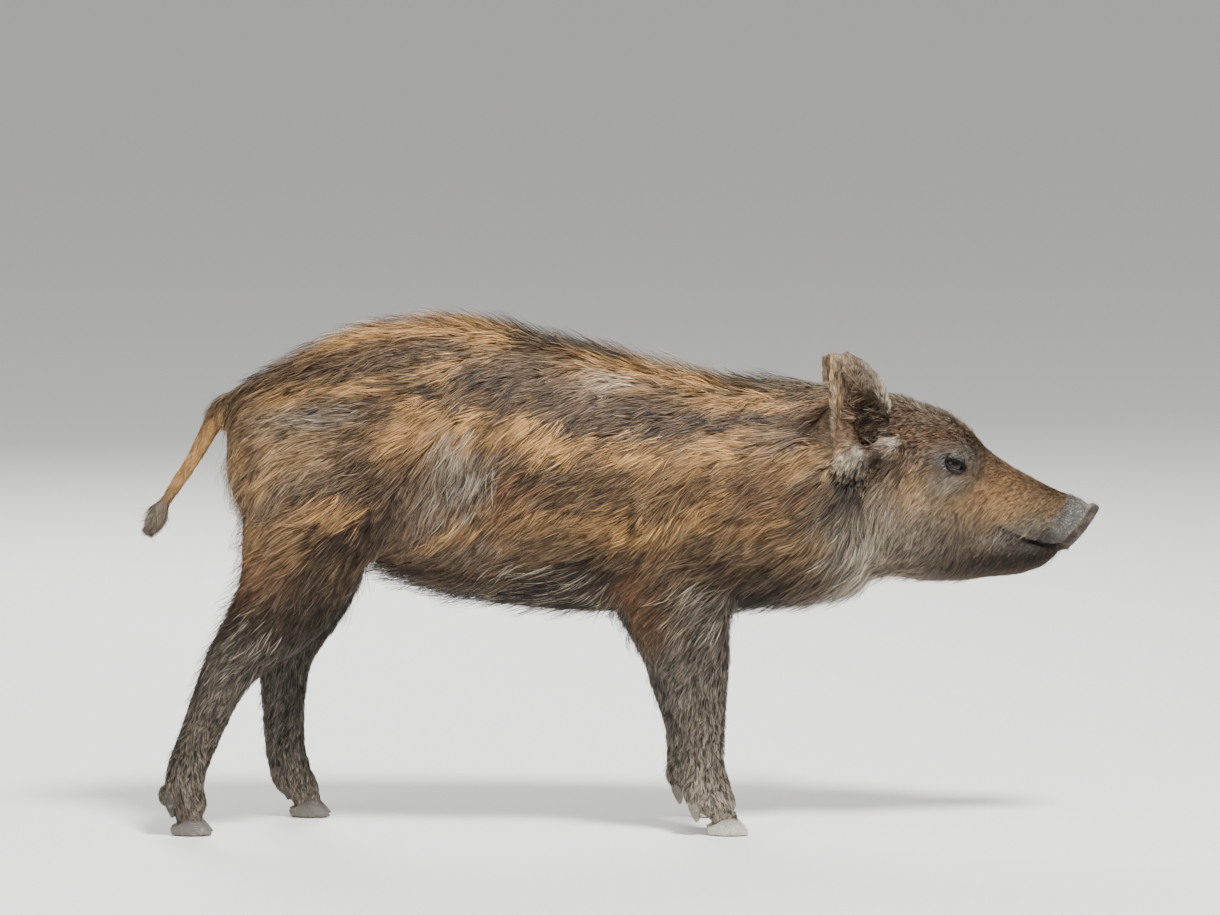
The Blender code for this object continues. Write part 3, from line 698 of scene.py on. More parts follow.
# x, z, half length and half height in millimetres, and strength
PATCHES = {
    "stripe": [
        (-290, 335, 50, 40, 0.16), (50, 285, 60, 35, 0.14), (20, 196, 16, 26, 0.25),
        (250, 292, 22, 16, 0.35), (318, 288, 28, 14, 0.26), (334, 270, 32, 13, 0.55),
        (290, 280, 22, 10, 0.25), (184, 326, 11, 11, 0.45),
    ],
    "dark": [
        (-250, 352, 50, 14, 0.45), (-115, 305, 16, 30, 0.5), (60, 262, 60, 36, 0.6),
        (150, 285, 30, 30, 0.45), (75, 195, 30, 26, 0.5), (200, 255, 34, 44, 0.72),
        (290, 240, 45, 20, 0.7), (262, 262, 40, 24, 0.35), (232, 316, 10, 16, 0.55),
        (240, 335, 45, 24, 0.45), (300, 262, 40, 14, 0.3), (262, 288, 28, 18, 0.3),
    ],
    "rufous": [
        (12, 212, 15, 22, 0.85), (30, 182, 22, 18, 0.8), (-290, 404, 30, 8, 0.5),
        (-120, 432, 60, 10, 0.5), (-300, 235, 18, 30, 0.3), (-250, 278, 22, 8, 0.35),
        (14, 190, 20, 34, 0.55), (-85, 300, 28, 12, 0.4), (0, 370, 30, 6, 0.4),
        (130, 300, 30, 20, 0.25), (-200, 430, 60, 8, 0.3), (262, 334, 30, 12, 0.2),
        (318, 294, 28, 14, 0.25), (186, 338, 14, 15, 0.55),
    ],
    "ink": [
        # the patches at z 212 to 214 mm run under the belly: partly its own dark hair, partly painted shade
        # under the body
        (130, 213, 50, 13, 0.75), (-40, 214, 70, 26, 0.82), (-4, 232, 18, 22, 0.8),
        (-235, 250, 22, 14, 0.85), (-212, 262, 22, 13, 0.92), (-190, 273, 16, 10, 0.7),
        (-252, 222, 20, 26, 0.75), (-160, 212, 40, 18, 0.55), (95, 232, 30, 12, 0.45),
        (285, 226, 38, 16, 0.76), (284, 317.5, 21.5, 12.5, 0.8), (352, 262, 14, 20, 0.5),
        (350, 233, 36, 15, 0.93), (318, 230, 26, 14, 0.65), (352, 249, 22, 6.5, 0.7),
        # painted shade: the first patch on the next line is the shadow under the ear's lobe, the second a
        # line of painted shade along the ear's front edge
        (194.5, 295.5, 18.5, 19.5, 0.97), (228.5, 352, 4.2, 30, 0.7),
    ],
    "grey": [
        (-136, 326, 12, 24, 0.75), (-118, 312, 12, 18, 0.55), (-160, 285, 16, 20, 0.35),
        (-105, 252, 24, 6, 0.45), (-6, 380, 13, 9, 0.6), (-250, 355, 42, 10, 0.4),
        (-240, 434, 30, 6, 0.5), (-260, 312, 20, 8, 0.3), (-255, 330, 45, 30, 0.18),
        (75, 195, 24, 20, 0.35), (205, 246, 20, 34, 0.58), (178, 272, 7, 12, 0.5),
        (228, 284, 14, 28, 0.42), (256, 246, 28, 14, 0.25), (300, 262, 50, 20, 0.22),
        (246, 268, 30, 24, 0.3), (283, 320.5, 19, 9.5, 0.5), (277, 298, 19, 9, 0.72),
        (290, 352, 36, 12, 0.35), (348, 258, 24, 12, 0.55), (328, 252, 18, 6, 0.5),
    ],
    "cream": [
        (-6, 380, 10, 6, 0.45), (-300, 300, 34, 50, 0.07), (210, 240, 16, 24, 0.36),
        (232, 216, 36, 9, 0.4), (300, 275, 55, 30, 0.05),
    ],
}
MASKS = ("stripe", "dark", "rufous", "ink", "grey", "cream")

# %% [markdown]
# A mask starts at nothing everywhere, and each band, patch or rule then covers a share of what is
# still left uncovered. So the order does not matter and no mask ever passes 1.


# %% Masks at any place
def round_barrel(places):
    """Along the body, and how far round it from the top of the back."""
    top, low = (np.interp(places[:, 0], PROFILE_X, line) for line in (BACK_Z, BELLY_Z))
    level = np.clip((places[:, -1] - (top + low) / 2) / ((top - low) / 2), -1, 1)
    return np.stack([places[:, 0], np.arccos(level) * BARREL_RADIUS], axis=1)


def mark_trunk(add, places):
    x, y, z = folded(places).T
    wander = 0.0022 * np.stack([waves(places, 0.07, 11), waves(places, 0.05, 12)], axis=1)
    unrolled = round_barrel(places) + wander
    body = step(z, 0.200, 0.225) * step(x, 0.205, 0.175)
    patchy = np.clip(0.92 + 0.20 * waves(places, 0.045, 13), 0, 1)
    for mask, lines in (("stripe", STRIPES), ("dark", DARKER)):
        for strength, half, line in lines:
            away, _ = distance_to_line(unrolled, round_barrel(np.array(line) / 1000))
            add(mask, strength * bump(away, half / 1000) * body * patchy)
    for mask, patches in PATCHES.items():
        for *ellipse, strength in patches:
            centre_x, centre_z, long, high = np.array(ellipse) / 1000
            away = np.hypot((x - centre_x) / long, (z - centre_z) / high)
            add(mask, strength * bump(away, 1.0))


def mark_legs_and_mane(add, places):
    x, y, z = folded(places).T
    leg = step(z, 0.235, 0.190) * step(x, 0.17, 0.13)
    inner = step(y, 0.052, 0.038) * step(z, 0.02, 0.07) * leg
    hind = on_hind(x)
    crest = step(y, 0.022, 0.006) * step(z, 0.345, 0.36)
    # the inner sides of the legs are near black: partly their own dark hair, partly painted shade between
    # the legs
    add("ink", 0.58 * leg * step(z, 0.10, 0.15), 0.92 * inner)
    add("ink", 0.50 * leg * hind * step(z, 0.02, 0.06))
    add("dark", 0.55 * leg)
    # the mouth's line is near black: partly the lips' own black, partly painted shade in the groove between
    # them
    add("ink", 0.96 * near_line(places, MOUTH, 0.0030))
    add("ink", 0.75 * near_line(places, TEAR, 0.0020))
    add("ink", 0.62 * crest * step(x, -0.11, -0.02) * step(x, 0.205, 0.175))
    add("ink", 0.35 * crest * step(x, 0.0, -0.06))
    add("grey", blend(0.42, 0.30, hind) * leg * step(z, 0.20, 0.13))
    add("grey", 0.45 * crest * step(x, -0.09, 0.0))
    add("cream", blend(0.26, 0.06, hind) * step(z, 0.085, 0.025))


def mark_tail(add, places):
    tail, along = tail_share(places)
    for mask, strength in (("rufous", 0.25), ("stripe", 0.60)):
        add(mask, strength * tail * step(along, 0.80, 0.68))
    for mask, strength in (("ink", 0.60), ("grey", 0.40)):
        add(mask, strength * tail * step(along, 0.66, 0.78))


def mark_ears(add, places):
    x, y, z = folded(places).T
    ear = on_ear(places)
    inside = inside_rim(places)
    deep = step(inside, 0.003, 0.009)
    fold = near_line(places, EAR_FOLD, 0.0050)
    behind_fold = step(x - np.interp(z, EAR_FOLD[::-1, 1], EAR_FOLD[::-1, 0]), 0.001, -0.004)
    add("stripe", 0.30 * ear * (1 - deep), 0.50 * ear * fold)
    add("cream", 0.25 * ear * (1 - deep) * behind_fold, 0.35 * ear * fold)
    leaf = ear * step(x, 0.2075, 0.2125) * step(z, 0.398, 0.385)
    add("stripe", 0.45 * leaf)
    add("cream", 0.42 * leaf)
    # the rim is darker: along the top this is the ear's own dark back, along the front edge it is painted
    # shade
    rim = ear * bump(inside - 0.0012, 0.0030) * step(x, 0.176, 0.181)
    add("dark", 0.80 * rim * (1 - 0.7 * leaf))
    add("ink", 0.50 * rim * step(x, 0.200, 0.212) * (1 - 0.8 * leaf))
    # painted shade in the crease beside the ear's fold
    add("ink", 0.75 * ear * near_line(places, EAR_CREASE, 0.0055))
    add("grey", 0.50 * ear * (1 - behind_fold) * (1 - fold))
    add("dark", 0.45 * ear * (1 - behind_fold) * (1 - fold))
    add("rufous", 0.36 * ear * deep * behind_fold * (1 - fold))
    add("grey", 0.26 * ear)
    # painted shade deep in the ear's hollow
    add("dark", 0.75 * ear * deep * (1 - fold) * step(x, 0.176, 0.196) * step(x, 0.2115, 0.2070))
    # painted shade: the ear's passage is painted near black, as a deep hole looks
    add("ink", 0.97 * bump(np.hypot((x - EAR_HOLE[0]) / 0.50, z - EAR_HOLE[1]), 0.0140))
    lobe = bump(np.hypot((x - 0.191) / 1.35, z - 0.3185), 0.0105) * step(y, 0.038, 0.044)
    add("cream", 0.66 * lobe * step(x, 0.2120, 0.2040))
    # painted shade round the ear's foot, under and behind the ear
    round_foot = step(np.hypot((x - 0.200) / 0.030, (z - 0.335) / 0.030), 1.2, 0.9)
    add("dark", 0.6 * round_foot * (1 - ear))


def markings(places):
    """The six masks at each place, as a dictionary of arrays from 0 to 1."""
    left = {mask: np.ones(len(places)) for mask in MASKS}

    def add(mask, share, second_share=0.0):
        left[mask] *= (1 - share) * (1 - second_share)

    for mark in (mark_trunk, mark_legs_and_mane, mark_tail, mark_ears):
        mark(add, places)
    return {mask: np.clip(1 - left[mask], 0, 1) for mask in MASKS}


def paint(mesh, masks, extra=None):
    """Stores the masks on the mesh's points: three in each of two colour attributes."""
    for name, members in (("marks_a", MASKS[:3]), ("marks_b", MASKS[3:])):
        values = np.ones((len(mesh.vertices), 4), np.float32)
        for channel, mask in enumerate(members):
            values[:, channel] = masks[mask]
        mesh.attributes.new(name, "FLOAT_COLOR", "POINT").data.foreach_set("color", values.ravel())
    if extra is not None:
        mesh.attributes.new("strand", "FLOAT_COLOR", "POINT").data.foreach_set(
            "color", np.asarray(extra, np.float32).ravel())


# %% [markdown]
# Bands alone would look airbrushed. On a real coat the colours are drawn out into streaks,
# because each hair carries its root's colour backward. So a grainy field is smeared along the lie
# of the hair: each point of the hide takes the mean of itself and of the points ahead and
# behind, again and again. The masks are then made stronger or weaker by these streaks.

# %% Streaks along the hair
SMEAR = 0.0065
hide_finder = finder_of(skin_points)
skin_lie = lie_of(skin_points, skin_ups)
ahead_point, behind_point = (
    nearest_in(hide_finder, skin_points + way * skin_lie * SMEAR) for way in (1, -1)
)


def smeared(values, rounds):
    for _ in range(rounds):
        values = (values + values[ahead_point] + values[behind_point]) / 3
    return values


def streaks(rounds):
    values = smeared(rng.normal(size=len(skin_points)), rounds)
    return np.clip(values / values.std(), -2.2, 2.2)


streak, fine_streak = streaks(9), streaks(3)
furred = step(skin_points[:, 0], 0.26, 0.19) * (1 - 0.92 * near_ear(skin_points + [0, 0, 0.012]))
skin_masks = {mask: blend(value, smeared(value, 2), furred)
              for mask, value in markings(skin_points).items()}
for mask, swing in (("stripe", 0.22), ("rufous", 0.30), ("grey", 0.20), ("cream", 0.20)):
    lively = 1 + swing * (0.45 * streak + 0.65 * fine_streak) * furred
    skin_masks[mask] = np.clip(skin_masks[mask] * lively, 0, 1)
darker = furred * (0.30 - 0.05 * streak - 0.09 * fine_streak)
skin_masks["dark"] = np.clip(skin_masks["dark"] + darker, 0, 1)
paint(skin.data, skin_masks)
print(f"marked, {time.time() - STARTED:.1f} s")

# %% [markdown]
# ## Finishes
# A finish is a small graph of shader nodes. Written node by node it is hard to read, so one class
# wraps a socket and lets sums be written as in Python, and another holds a material and makes
# any node in one call.


# %% Sums on sockets
class Wire:
    """A socket of a finish, on which numbers can be reckoned."""

    def __init__(self, finish, socket):
        self.finish, self.socket = finish, socket

    def reckon(self, operation, *values):
        return self.finish.node("ShaderNodeMath", {"operation": operation}, dict(enumerate(values)))

    def __add__(self, other):
        return self.reckon("ADD", self, other)

    def __sub__(self, other):
        return self.reckon("SUBTRACT", self, other)

    def __rsub__(self, other):
        return self.reckon("SUBTRACT", other, self)

    def __mul__(self, other):
        return self.reckon("MULTIPLY", self, other)

    def __pow__(self, other):
        return self.reckon("POWER", self, other)

    def ramp(self, low, high):
        """0 below low and 1 above high, with a smooth rise."""
        return self.finish.node("ShaderNodeMapRange", {"interpolation_type": "SMOOTHSTEP"},
                                {"Value": self, "From Min": low, "From Max": high})


class Finish:
    """A material with a Principled shader, and one call that makes any other node."""

    def __init__(self, name, **constants):
        self.material = bpy.data.materials.new(name)
        self.material.use_nodes = True
        self.tree = self.material.node_tree
        self.shader = self.tree.nodes["Principled BSDF"]
        for socket, value in constants.items():
            self.shader.inputs[socket.replace("_", " ")].default_value = value

    def feed(self, socket, value):
        if isinstance(value, Wire):
            self.tree.links.new(value.socket, socket)
        else:
            socket.default_value = value

    def node(self, kind, settings, values, output=0):
        made = self.tree.nodes.new(kind)
        for name, setting in settings.items():
            setattr(made, name, setting)
        for name, value in values.items():
            self.feed(made.inputs[name], value)
        return Wire(self, made.outputs[output])

    def place(self):
        return self.node("ShaderNodeTexCoord", {}, {}, "Object")

    def noise(self, size, detail, stretch=(1, 1, 1)):
        """Soft spots of about the given size in metres, from 0 to 1."""
        return self.node("ShaderNodeTexNoise", {}, {
            "Vector": self.vector("MULTIPLY", self.place(), stretch), "Scale": 1 / size, "Detail": detail})

    def vector(self, operation, first, second, output=0):
        """A sum on two places; its output called Value is a number."""
        return self.node("ShaderNodeVectorMath", {"operation": operation}, {0: first, 1: second}, output)

    def parts(self, kind, value):
        """The three numbers that a place or a colour is made of."""
        first = self.node(kind, {}, {0: value})
        return [Wire(self, out) for out in first.socket.node.outputs]

    def mix(self, first, second, share):
        return self.node("ShaderNodeMix", {"data_type": "RGBA"},
                         {"Factor": share, 6: first, 7: second}, 2)

    def scaled(self, colour, share):
        return self.node("ShaderNodeVectorMath", {"operation": "SCALE"}, {0: colour, 3: share})

    def channels(self, name):
        """The three numbers stored in a colour attribute."""
        stored = self.node("ShaderNodeAttribute", {"attribute_name": name}, {}, "Color")
        return self.parts("ShaderNodeSeparateColor", stored)

    def bumps(self, height, depth):
        return self.node("ShaderNodeBump", {}, {"Height": height, "Distance": depth, "Strength": 1.0})

    def ends(self, **varying):
        """Feeds the shader's own sockets and gives the finished material."""
        for socket, value in varying.items():
            self.feed(self.shader.inputs[socket.replace("_", " ")], value)
        return self.material


def tint(red, green, blue):
    """A screen colour from 0 to 255 as the light it stands for."""
    return (*[(c / 255 / 12.92 if c <= 10 else ((c / 255 + 0.055) / 1.055) ** 2.4)
              for c in (red, green, blue)], 1.0)


BROWN = tint(102, 80, 59)
COLOURS = {  # laid over the brown in this order
    "dark": tint(48, 37, 30), "rufous": tint(132, 84, 50), "stripe": tint(196, 149, 90),
    "ink": tint(22, 19, 17), "grey": tint(138, 132, 121), "cream": tint(208, 197, 174),
}


def coat_colour(finish):
    """The coat's ground colour with the six masks laid over it in turn."""
    masks = dict(zip(MASKS, finish.channels("marks_a") + finish.channels("marks_b")))
    colour = finish.mix(BROWN, COLOURS["dark"], finish.noise(0.0030, 4.0).ramp(0.45, 0.70) * 0.35)
    for mask, over in COLOURS.items():
        colour = finish.mix(colour, over, masks[mask])
    return colour, masks


def hair_finish(name, gloss, contrast, root):
    """Hair: dark at the root, partly with painted shade, paler at the tip, and each strand a little unlike
    the next.
    """
    finish = Finish(name, Roughness=0.50, Specular_IOR_Level=gloss)
    colour, masks = coat_colour(finish)
    own, along, lock = finish.channels("strand")
    tip = along.ramp(0.45, 1.0) * own.ramp(0.45, 0.95)
    colour = finish.mix(colour, tint(210, 186, 148), tip * (1 - masks["ink"] * 0.6) * 0.34)
    tone = (own * contrast + (0.98 - contrast / 2)) * (lock * contrast + (0.98 - contrast / 2))
    return finish.ends(Base_Color=finish.scaled(colour, tone * (along.ramp(-0.3, 0.6) * (1 - root) + root)))


# for each slot its hair's gloss, how unlike the strands are, and how bright their roots are, whose darkness
# is partly painted shade
HAIR = {slot: hair_finish(name, *numbers) for slot, name, *numbers in (
    ("coat", "coat_hair", 0.20, 0.84, 0.28), ("face_coat", "face_hair", 0.16, 0.92, 0.36),
    ("leg_coat", "leg_hair", 0.16, 0.50, 0.42), ("ear_coat", "ear_hair", 0.16, 0.55, 0.52),
    ("tail_coat", "tail_hair", 0.22, 0.50, 0.40), ("tail_tuft", "tuft_hair", 0.22, 0.60, 0.40),
    ("snout_skin", "snout_bristle", 0.20, 0.30, 0.70),
)}

# %% [markdown]
# ## Hair
# Each tuft is a narrow ribbon of mesh that leaves the hide, bends over and follows it. Ribbons
# are grown in numbers by array sums, thousands at once, since no hand could place them. What
# makes hair look like hair is that it clumps: every ribbon leans towards the nearest lock's guide
# more and more from root to tip. Each piece also gets a map called OFBake, on which a ribbon is
# a speck at its root's place on the unrolled hide, so that its colour can be stored there.


# %% Roots and paths
def scatter(shares, count):
    """Root places spread over the hide's triangles by the given shares, and the up at each."""
    weight = np.cumsum(shares * triangle_areas)
    at = (np.arange(count) + rng.random(count)) / count * weight[-1]
    picked = np.clip(np.searchsorted(weight, at), 0, len(weight) - 1)
    first, second = rng.random((2, count, 1))
    over = first + second > 1
    first, second = np.where(over, 1 - first, first), np.where(over, 1 - second, second)
    a, b, c = (skin_points[corners[picked, k]] for k in range(3))
    return a + first * (b - a) + second * (c - a), triangle_ups[picked]


def follow(roots, ups, lengths, bends, sideways):
    """Each strand's places over the hide, root first, with the hide's up at each."""
    ways = turned(lie_of(roots, ups), ups, sideways)
    places, raised = [roots], [ups]
    here, up = roots, ups
    for _ in range(bends):
        here, new_up = on_hide(here + ways * (lengths / bends)[:, None])
        up = unit(0.35 * up + 0.65 * new_up)
        way = unit(ways - (ways * up).sum(axis=1, keepdims=True) * up)
        ways = unit(0.7 * way + 0.3 * turned(lie_of(here, up), up, sideways))
        places.append(here)
        raised.append(up)
    return np.stack(places, axis=1), np.stack(raised, axis=1)


LOCK_REACH = 0.010               # a guide farther off than this pulls no strand
RISE = {3: np.array([-0.06, 0.58, 0.88, 1.0]), 2: np.array([-0.06, 0.75, 1.0]), 1: np.array([-0.08, 1.0])}


def grow(roots, ups, lengths, heights, bends, clump, lock_size, curl):
    """Strands as rows of places, clumped to locks; also the tones of each one's lock and wisp."""
    count = len(roots)
    sideways = 0.16 * rng.normal(size=count)
    paths, raised = follow(roots, ups, lengths, bends, sideways)
    lock_count = max(8, int(count * lock_size))
    chosen = rng.choice(count, lock_count, replace=False)
    lock = nearest_in(finder_of(roots[chosen]), roots)
    guides = paths[chosen][lock]
    guide_ups = raised[chosen][lock]
    swing = (curl * rng.normal(size=lock_count))[lock] + 0.4 * curl * rng.normal(size=count)
    t = np.linspace(0, 1, bends + 1)
    pull = (t**0.8)[None, :, None] * (clump * rng.uniform(0.55, 1.0, count))[:, None, None]
    pull = pull * (np.linalg.norm(guides[:, 0] - paths[:, 0], axis=1) < LOCK_REACH)[:, None, None]
    paths = paths * (1 - pull) + guides * pull
    raised = unit(raised * (1 - pull) + guide_ups * pull)
    across = np.cross(raised, unit(np.gradient(paths, axis=1)))
    paths = paths + across * ((t**2)[None, :] * (swing * lengths)[:, None])[..., None]
    tall = (0.55 + 0.45 * rng.random(lock_count))[lock] * rng.uniform(0.55, 1.05, count)
    paths = paths + raised * (RISE[bends][None, :] * (heights * tall)[:, None])[..., None]
    wisp_count = count // 5
    wisp = nearest_in(finder_of(roots[rng.choice(count, wisp_count, replace=False)]), roots)
    return paths, raised, np.stack([rng.random(lock_count)[lock], rng.random(wisp_count)[wisp]])


# %% [markdown]
# A strand is a narrow ribbon from root to tip. Its points carry the masks of its root,
# how far along it they lie and its tone. Its place on the baking map is one speck at the root.

# %% Strands made into a mesh
WIDTHS = {3: np.array([0.75, 1.0, 0.72]), 2: np.array([0.85, 1.0]), 1: np.array([1.0])}
SPECK = 0.003                    # a ribbon's size on the baking map
WISP_DRAWN, LOCK_DRAWN = 0.026, 0.012    # how far colours are drawn out along the hair
WISP_ASIDE = 0.007               # how far they are pushed to the side
LOOSE = 0.0014                   # how far each strand's colour strays by itself


def ribbons(name, paths, across, widths):
    """A mesh of one tapering ribbon a strand, with the corners of the first as a pattern."""
    count, rows = paths.shape[:2]
    half = 0.5 * widths[:, None] * WIDTHS[rows - 1][None, :]
    spread = across[:, :-1] * half[..., None]
    left, right = paths[:, :-1] - spread, paths[:, :-1] + spread
    bands = np.stack([left, right], axis=2).reshape(count, -1, 3)
    verts = np.concatenate([bands, paths[:, -1:]], axis=1)
    each = verts.shape[1]
    quads = [[2 * k + 1, 2 * k, 2 * k + 2, 2 * k + 3] for k in range(rows - 2)]
    pattern = np.array(sum(quads, []) + [each - 2, each - 3, each - 1])
    starts = np.arange(rows - 1) * 4
    offsets = np.arange(count)[:, None]
    mesh = bpy.data.meshes.new(name)
    mesh.vertices.add(count * each)
    mesh.vertices.foreach_set("co", verts.astype(np.float32).ravel())
    mesh.loops.add(count * len(pattern))
    mesh.loops.foreach_set("vertex_index", (pattern + offsets * each).ravel().astype(np.int32))
    mesh.polygons.add(count * len(starts))
    mesh.polygons.foreach_set("loop_start", (starts + offsets * len(pattern)).ravel().astype(np.int32))
    mesh.polygons.foreach_set("use_smooth", np.ones(count * len(starts), bool))
    mesh.update(calc_edges=True)
    return mesh, pattern


def strand_masks(roots, ways, across, tones, own, dyed):
    """The six masks of each strand: its root's, feathered, and made livelier by its own tones."""
    lock, wisp = tones
    free = furred[nearest_in(hide_finder, roots)][:, None]
    drawn = ((wisp - 0.5) * WISP_DRAWN + (lock - 0.5) * LOCK_DRAWN)[:, None] * ways
    aside = (np.modf(wisp * 37.0)[0] - 0.5)[:, None] * WISP_ASIDE * across
    feathered = roots + rng.normal(size=roots.shape) * LOOSE + (drawn + aside) * (0.04 + 0.96 * free)
    nearest = nearest_in(hide_finder, feathered)
    masks = {mask: value[nearest] for mask, value in skin_masks.items()}
    body = furred[nearest] * 0.55 + 0.45
    masks["stripe"] = masks["stripe"] * (1 + body * (0.9 * wisp + 0.5 * lock + 0.4 * own - 0.9))
    masks["dark"] = masks["dark"] + body * (0.75 - 0.75 * wisp - 0.35 * lock - 0.40 * own)
    masks["rufous"] = masks["rufous"] * (0.6 + 0.8 * lock) + body * 0.35 * np.maximum(wisp - 0.6, 0)
    for mask in ("grey", "cream"):
        masks[mask] = masks[mask] * (1 + body * (1.2 * wisp + 1.1 * own - 1.35))
    for mask, value in dyed:
        masks[mask] = blend(masks[mask], value, 0.85) * (0.8 + 0.3 * own)
    return {mask: np.clip(value, 0, 1) for mask, value in masks.items()}


def bake_map(mesh, centre, along, pattern):
    """The OFBake map: each ribbon is one speck at its root's place on the unrolled hide."""
    low, high = centre.min(axis=0), centre.max(axis=0)
    centre = SPECK + (centre - low) / (high - low) * (1 - 2 * SPECK)
    across = np.concatenate([np.tile([-0.5, 0.5], len(along) // 2), [0.0]])
    speck = np.stack([across, along - 0.5], axis=1) * SPECK
    corner = (centre[:, None] + speck[None, pattern]).reshape(-1, 2)
    mesh.uv_layers.new(name="OFBake").data.foreach_set("uv", corner.astype(np.float32).ravel())


def as_piece(name, slot, paths, raised, widths, tones, unroll, dyed):
    """Joins strands into one mesh of ribbons, painted as the hide is, with its OFBake map."""
    count, rows = paths.shape[:2]
    ways = unit(np.gradient(paths, axis=1))
    across = np.cross(raised, ways)
    roll = rng.normal(size=(count, 1, 1)) * 0.5
    across = across * np.cos(roll) + np.cross(ways, across) * np.sin(roll)
    own = rng.random(count)
    mesh, pattern = ribbons(name, paths, across, widths)
    masks = strand_masks(paths[:, 0], ways[:, 0], across[:, 0], tones, own, dyed)
    each = 2 * rows - 1
    along = np.concatenate([np.repeat(np.linspace(0, 1, rows)[:-1], 2), [1.0]])
    strand = np.ones((count, each, 4))
    strand[..., 0] = own[:, None]
    strand[..., 1] = along[None]
    strand[..., 2] = (0.5 * tones[0] + 0.5 * tones[1])[:, None]
    paint(mesh, {mask: np.repeat(value, each) for mask, value in masks.items()}, strand)
    soft = np.repeat(raised, [2] * (rows - 1) + [1], axis=1).reshape(-1, 3)
    mesh.normals_split_custom_set_from_vertices(unit(soft + rows_of(mesh.vertex_normals, "vector")))
    bake_map(mesh, unroll(paths[:, 0], raised[:, 0]), along, pattern)
    piece = bpy.data.objects.new(name, mesh)
    bpy.context.scene.collection.objects.link(piece)
    mesh.materials.append(HAIR[slot])
    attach(piece, "root")
    print(f"{name}: {count} strands, {count * (2 * rows - 3)} triangles, {time.time() - STARTED:.1f} s")


# %% [markdown]
# ## Where each part of the coat grows
# The hide is shared out among the pieces of the coat, so that every triangle belongs to one.
# Lengths follow the animal: long on neck, mane and belly, short on the face, shortest on muzzle
# and feet.

# %% Regions and lengths
mid_x, mid_y, mid_z = triangle_middles.T
is_ear = on_ear(triangle_middles)
ahead_of_disc = (triangle_middles - DISC) @ DISC_FACING
is_head = (mid_x > 0.205 - 0.25 * (mid_z - 0.30)) & ~is_ear
tail_part, tail_along = tail_share(triangle_middles)
is_tail = (tail_part > 0.5) & (tail_along < 0.74)
is_tuft = (tail_part > 0.5) & ~is_tail
is_foreleg = (mid_z < 0.190) & (mid_x > -0.06)
is_hind_leg = (mid_z < 0.205) & (mid_x < -0.17)
is_neck = (mid_x > 0.112) & ~is_head & ~is_ear & ~is_foreleg
is_trunk = ~(is_ear | is_head | is_tail | is_tuft | is_foreleg | is_hind_leg | is_neck)
along_eye, up_eye, out_eye = eye_frame(triangle_middles)
bare_eye = (lid_gap(along_eye, up_eye) > -0.0058 + 0.0026 * (up_eye < 0)) & (out_eye > -0.003)
above_mouth = mid_z - np.interp(mid_x, MOUTH[:, 0], MOUTH[:, 1]) > 0
bare_nose = (ahead_of_disc > -0.0235 + 0.004 * waves(triangle_middles, 0.01, 21)) & above_mouth
mouth_away, _ = distance_to_line(triangle_middles[:, [0, 2]], MOUTH)
bare_lobe = (np.hypot((mid_x - 0.2000) / 1.3, mid_z - 0.3250) < 0.0042) & (np.abs(mid_y) > 0.042)
ear_hole = np.hypot((mid_x - EAR_HOLE[0]) / 0.48, mid_z - EAR_HOLE[1]) < 0.0115
haired = ~(bare_eye | bare_nose | bare_lobe | ear_hole | (mouth_away < 0.0016) | (mid_z < HAIR_LINE))


# how long the hair is on each part, in metres; belly, shoulder, mane, hock and jaw are added to
# what grows there
LENGTH = {
    "trunk": 0.029, "belly": 0.006, "shoulder": 0.004, "mane": 0.009, "shank": 0.0085, "thigh": 0.0230,
    "hock": 0.006, "foot": 0.0075, "ruff": 0.0260, "cheek": 0.0110, "muzzle": 0.0056, "brow": 0.0075,
    "jaw": 0.004, "ear_foot": 0.0070, "ear": 0.0075, "tail": 0.015,
}


def strand_length(places):
    """How long the hair is at each place."""
    x, y, z = folded(places).T
    body = LENGTH["trunk"] + LENGTH["belly"] * step(z, 0.26, 0.21) + LENGTH["shoulder"] * step(x, 0.06, 0.16)
    body = body + mane(LENGTH["mane"], x, y, z)
    leg = blend(LENGTH["shank"], LENGTH["thigh"], step(z, CARPUS - 0.01, LEG_TOP - 0.02))
    leg = leg + LENGTH["hock"] * bump(np.hypot(x + 0.345, z - 0.140), 0.030)
    leg = blend(LENGTH["foot"], leg, step(z, 0.03, 0.06))
    length = blend(leg, body, above_legs(z))
    face = blend(LENGTH["ruff"], LENGTH["cheek"], step(x, 0.215, 0.262))
    face = blend(face, LENGTH["muzzle"], step(x, 0.280, 0.345))
    face = blend(face, LENGTH["brow"], step(z, 0.305, 0.33) * step(x, 0.20, 0.24))
    face = face + LENGTH["jaw"] * step(z, 0.250, 0.228) * step(x, 0.345, 0.320)
    length = blend(length, face, step(x, 0.185, 0.222) * step(z, 0.19, 0.20))
    length = blend(length, LENGTH["ear_foot"], near_ear(places))
    length = np.where(on_ear(places), LENGTH["ear"], length)
    return blend(length, LENGTH["tail"], tail_share(places)[0])


def around(centre_z):
    """Unrolls the hide round a level axis at the given height."""
    def unroll(places, _):
        return np.stack([places[:, 0], np.arctan2(places[:, 1], places[:, 2] - centre_z)], axis=1)
    return unroll


def around_tail(places, ups):
    """The tail's length, and the turn round its own axis."""
    along = tail_share(places)[1]
    return np.stack([along, np.arctan2(ups[:, 1], ups[:, 0])], axis=1)


def ear_panels(places, ups):
    """Four panels: the hollow and the back of each ear, side by side."""
    side = np.sign(places[:, 1])
    hollow = (ups[:, 1] * side > 0.1).astype(float)
    return np.stack([places[:, 0] + 0.09 * hollow + 0.09 * (side + 1), places[:, 2]], axis=1)


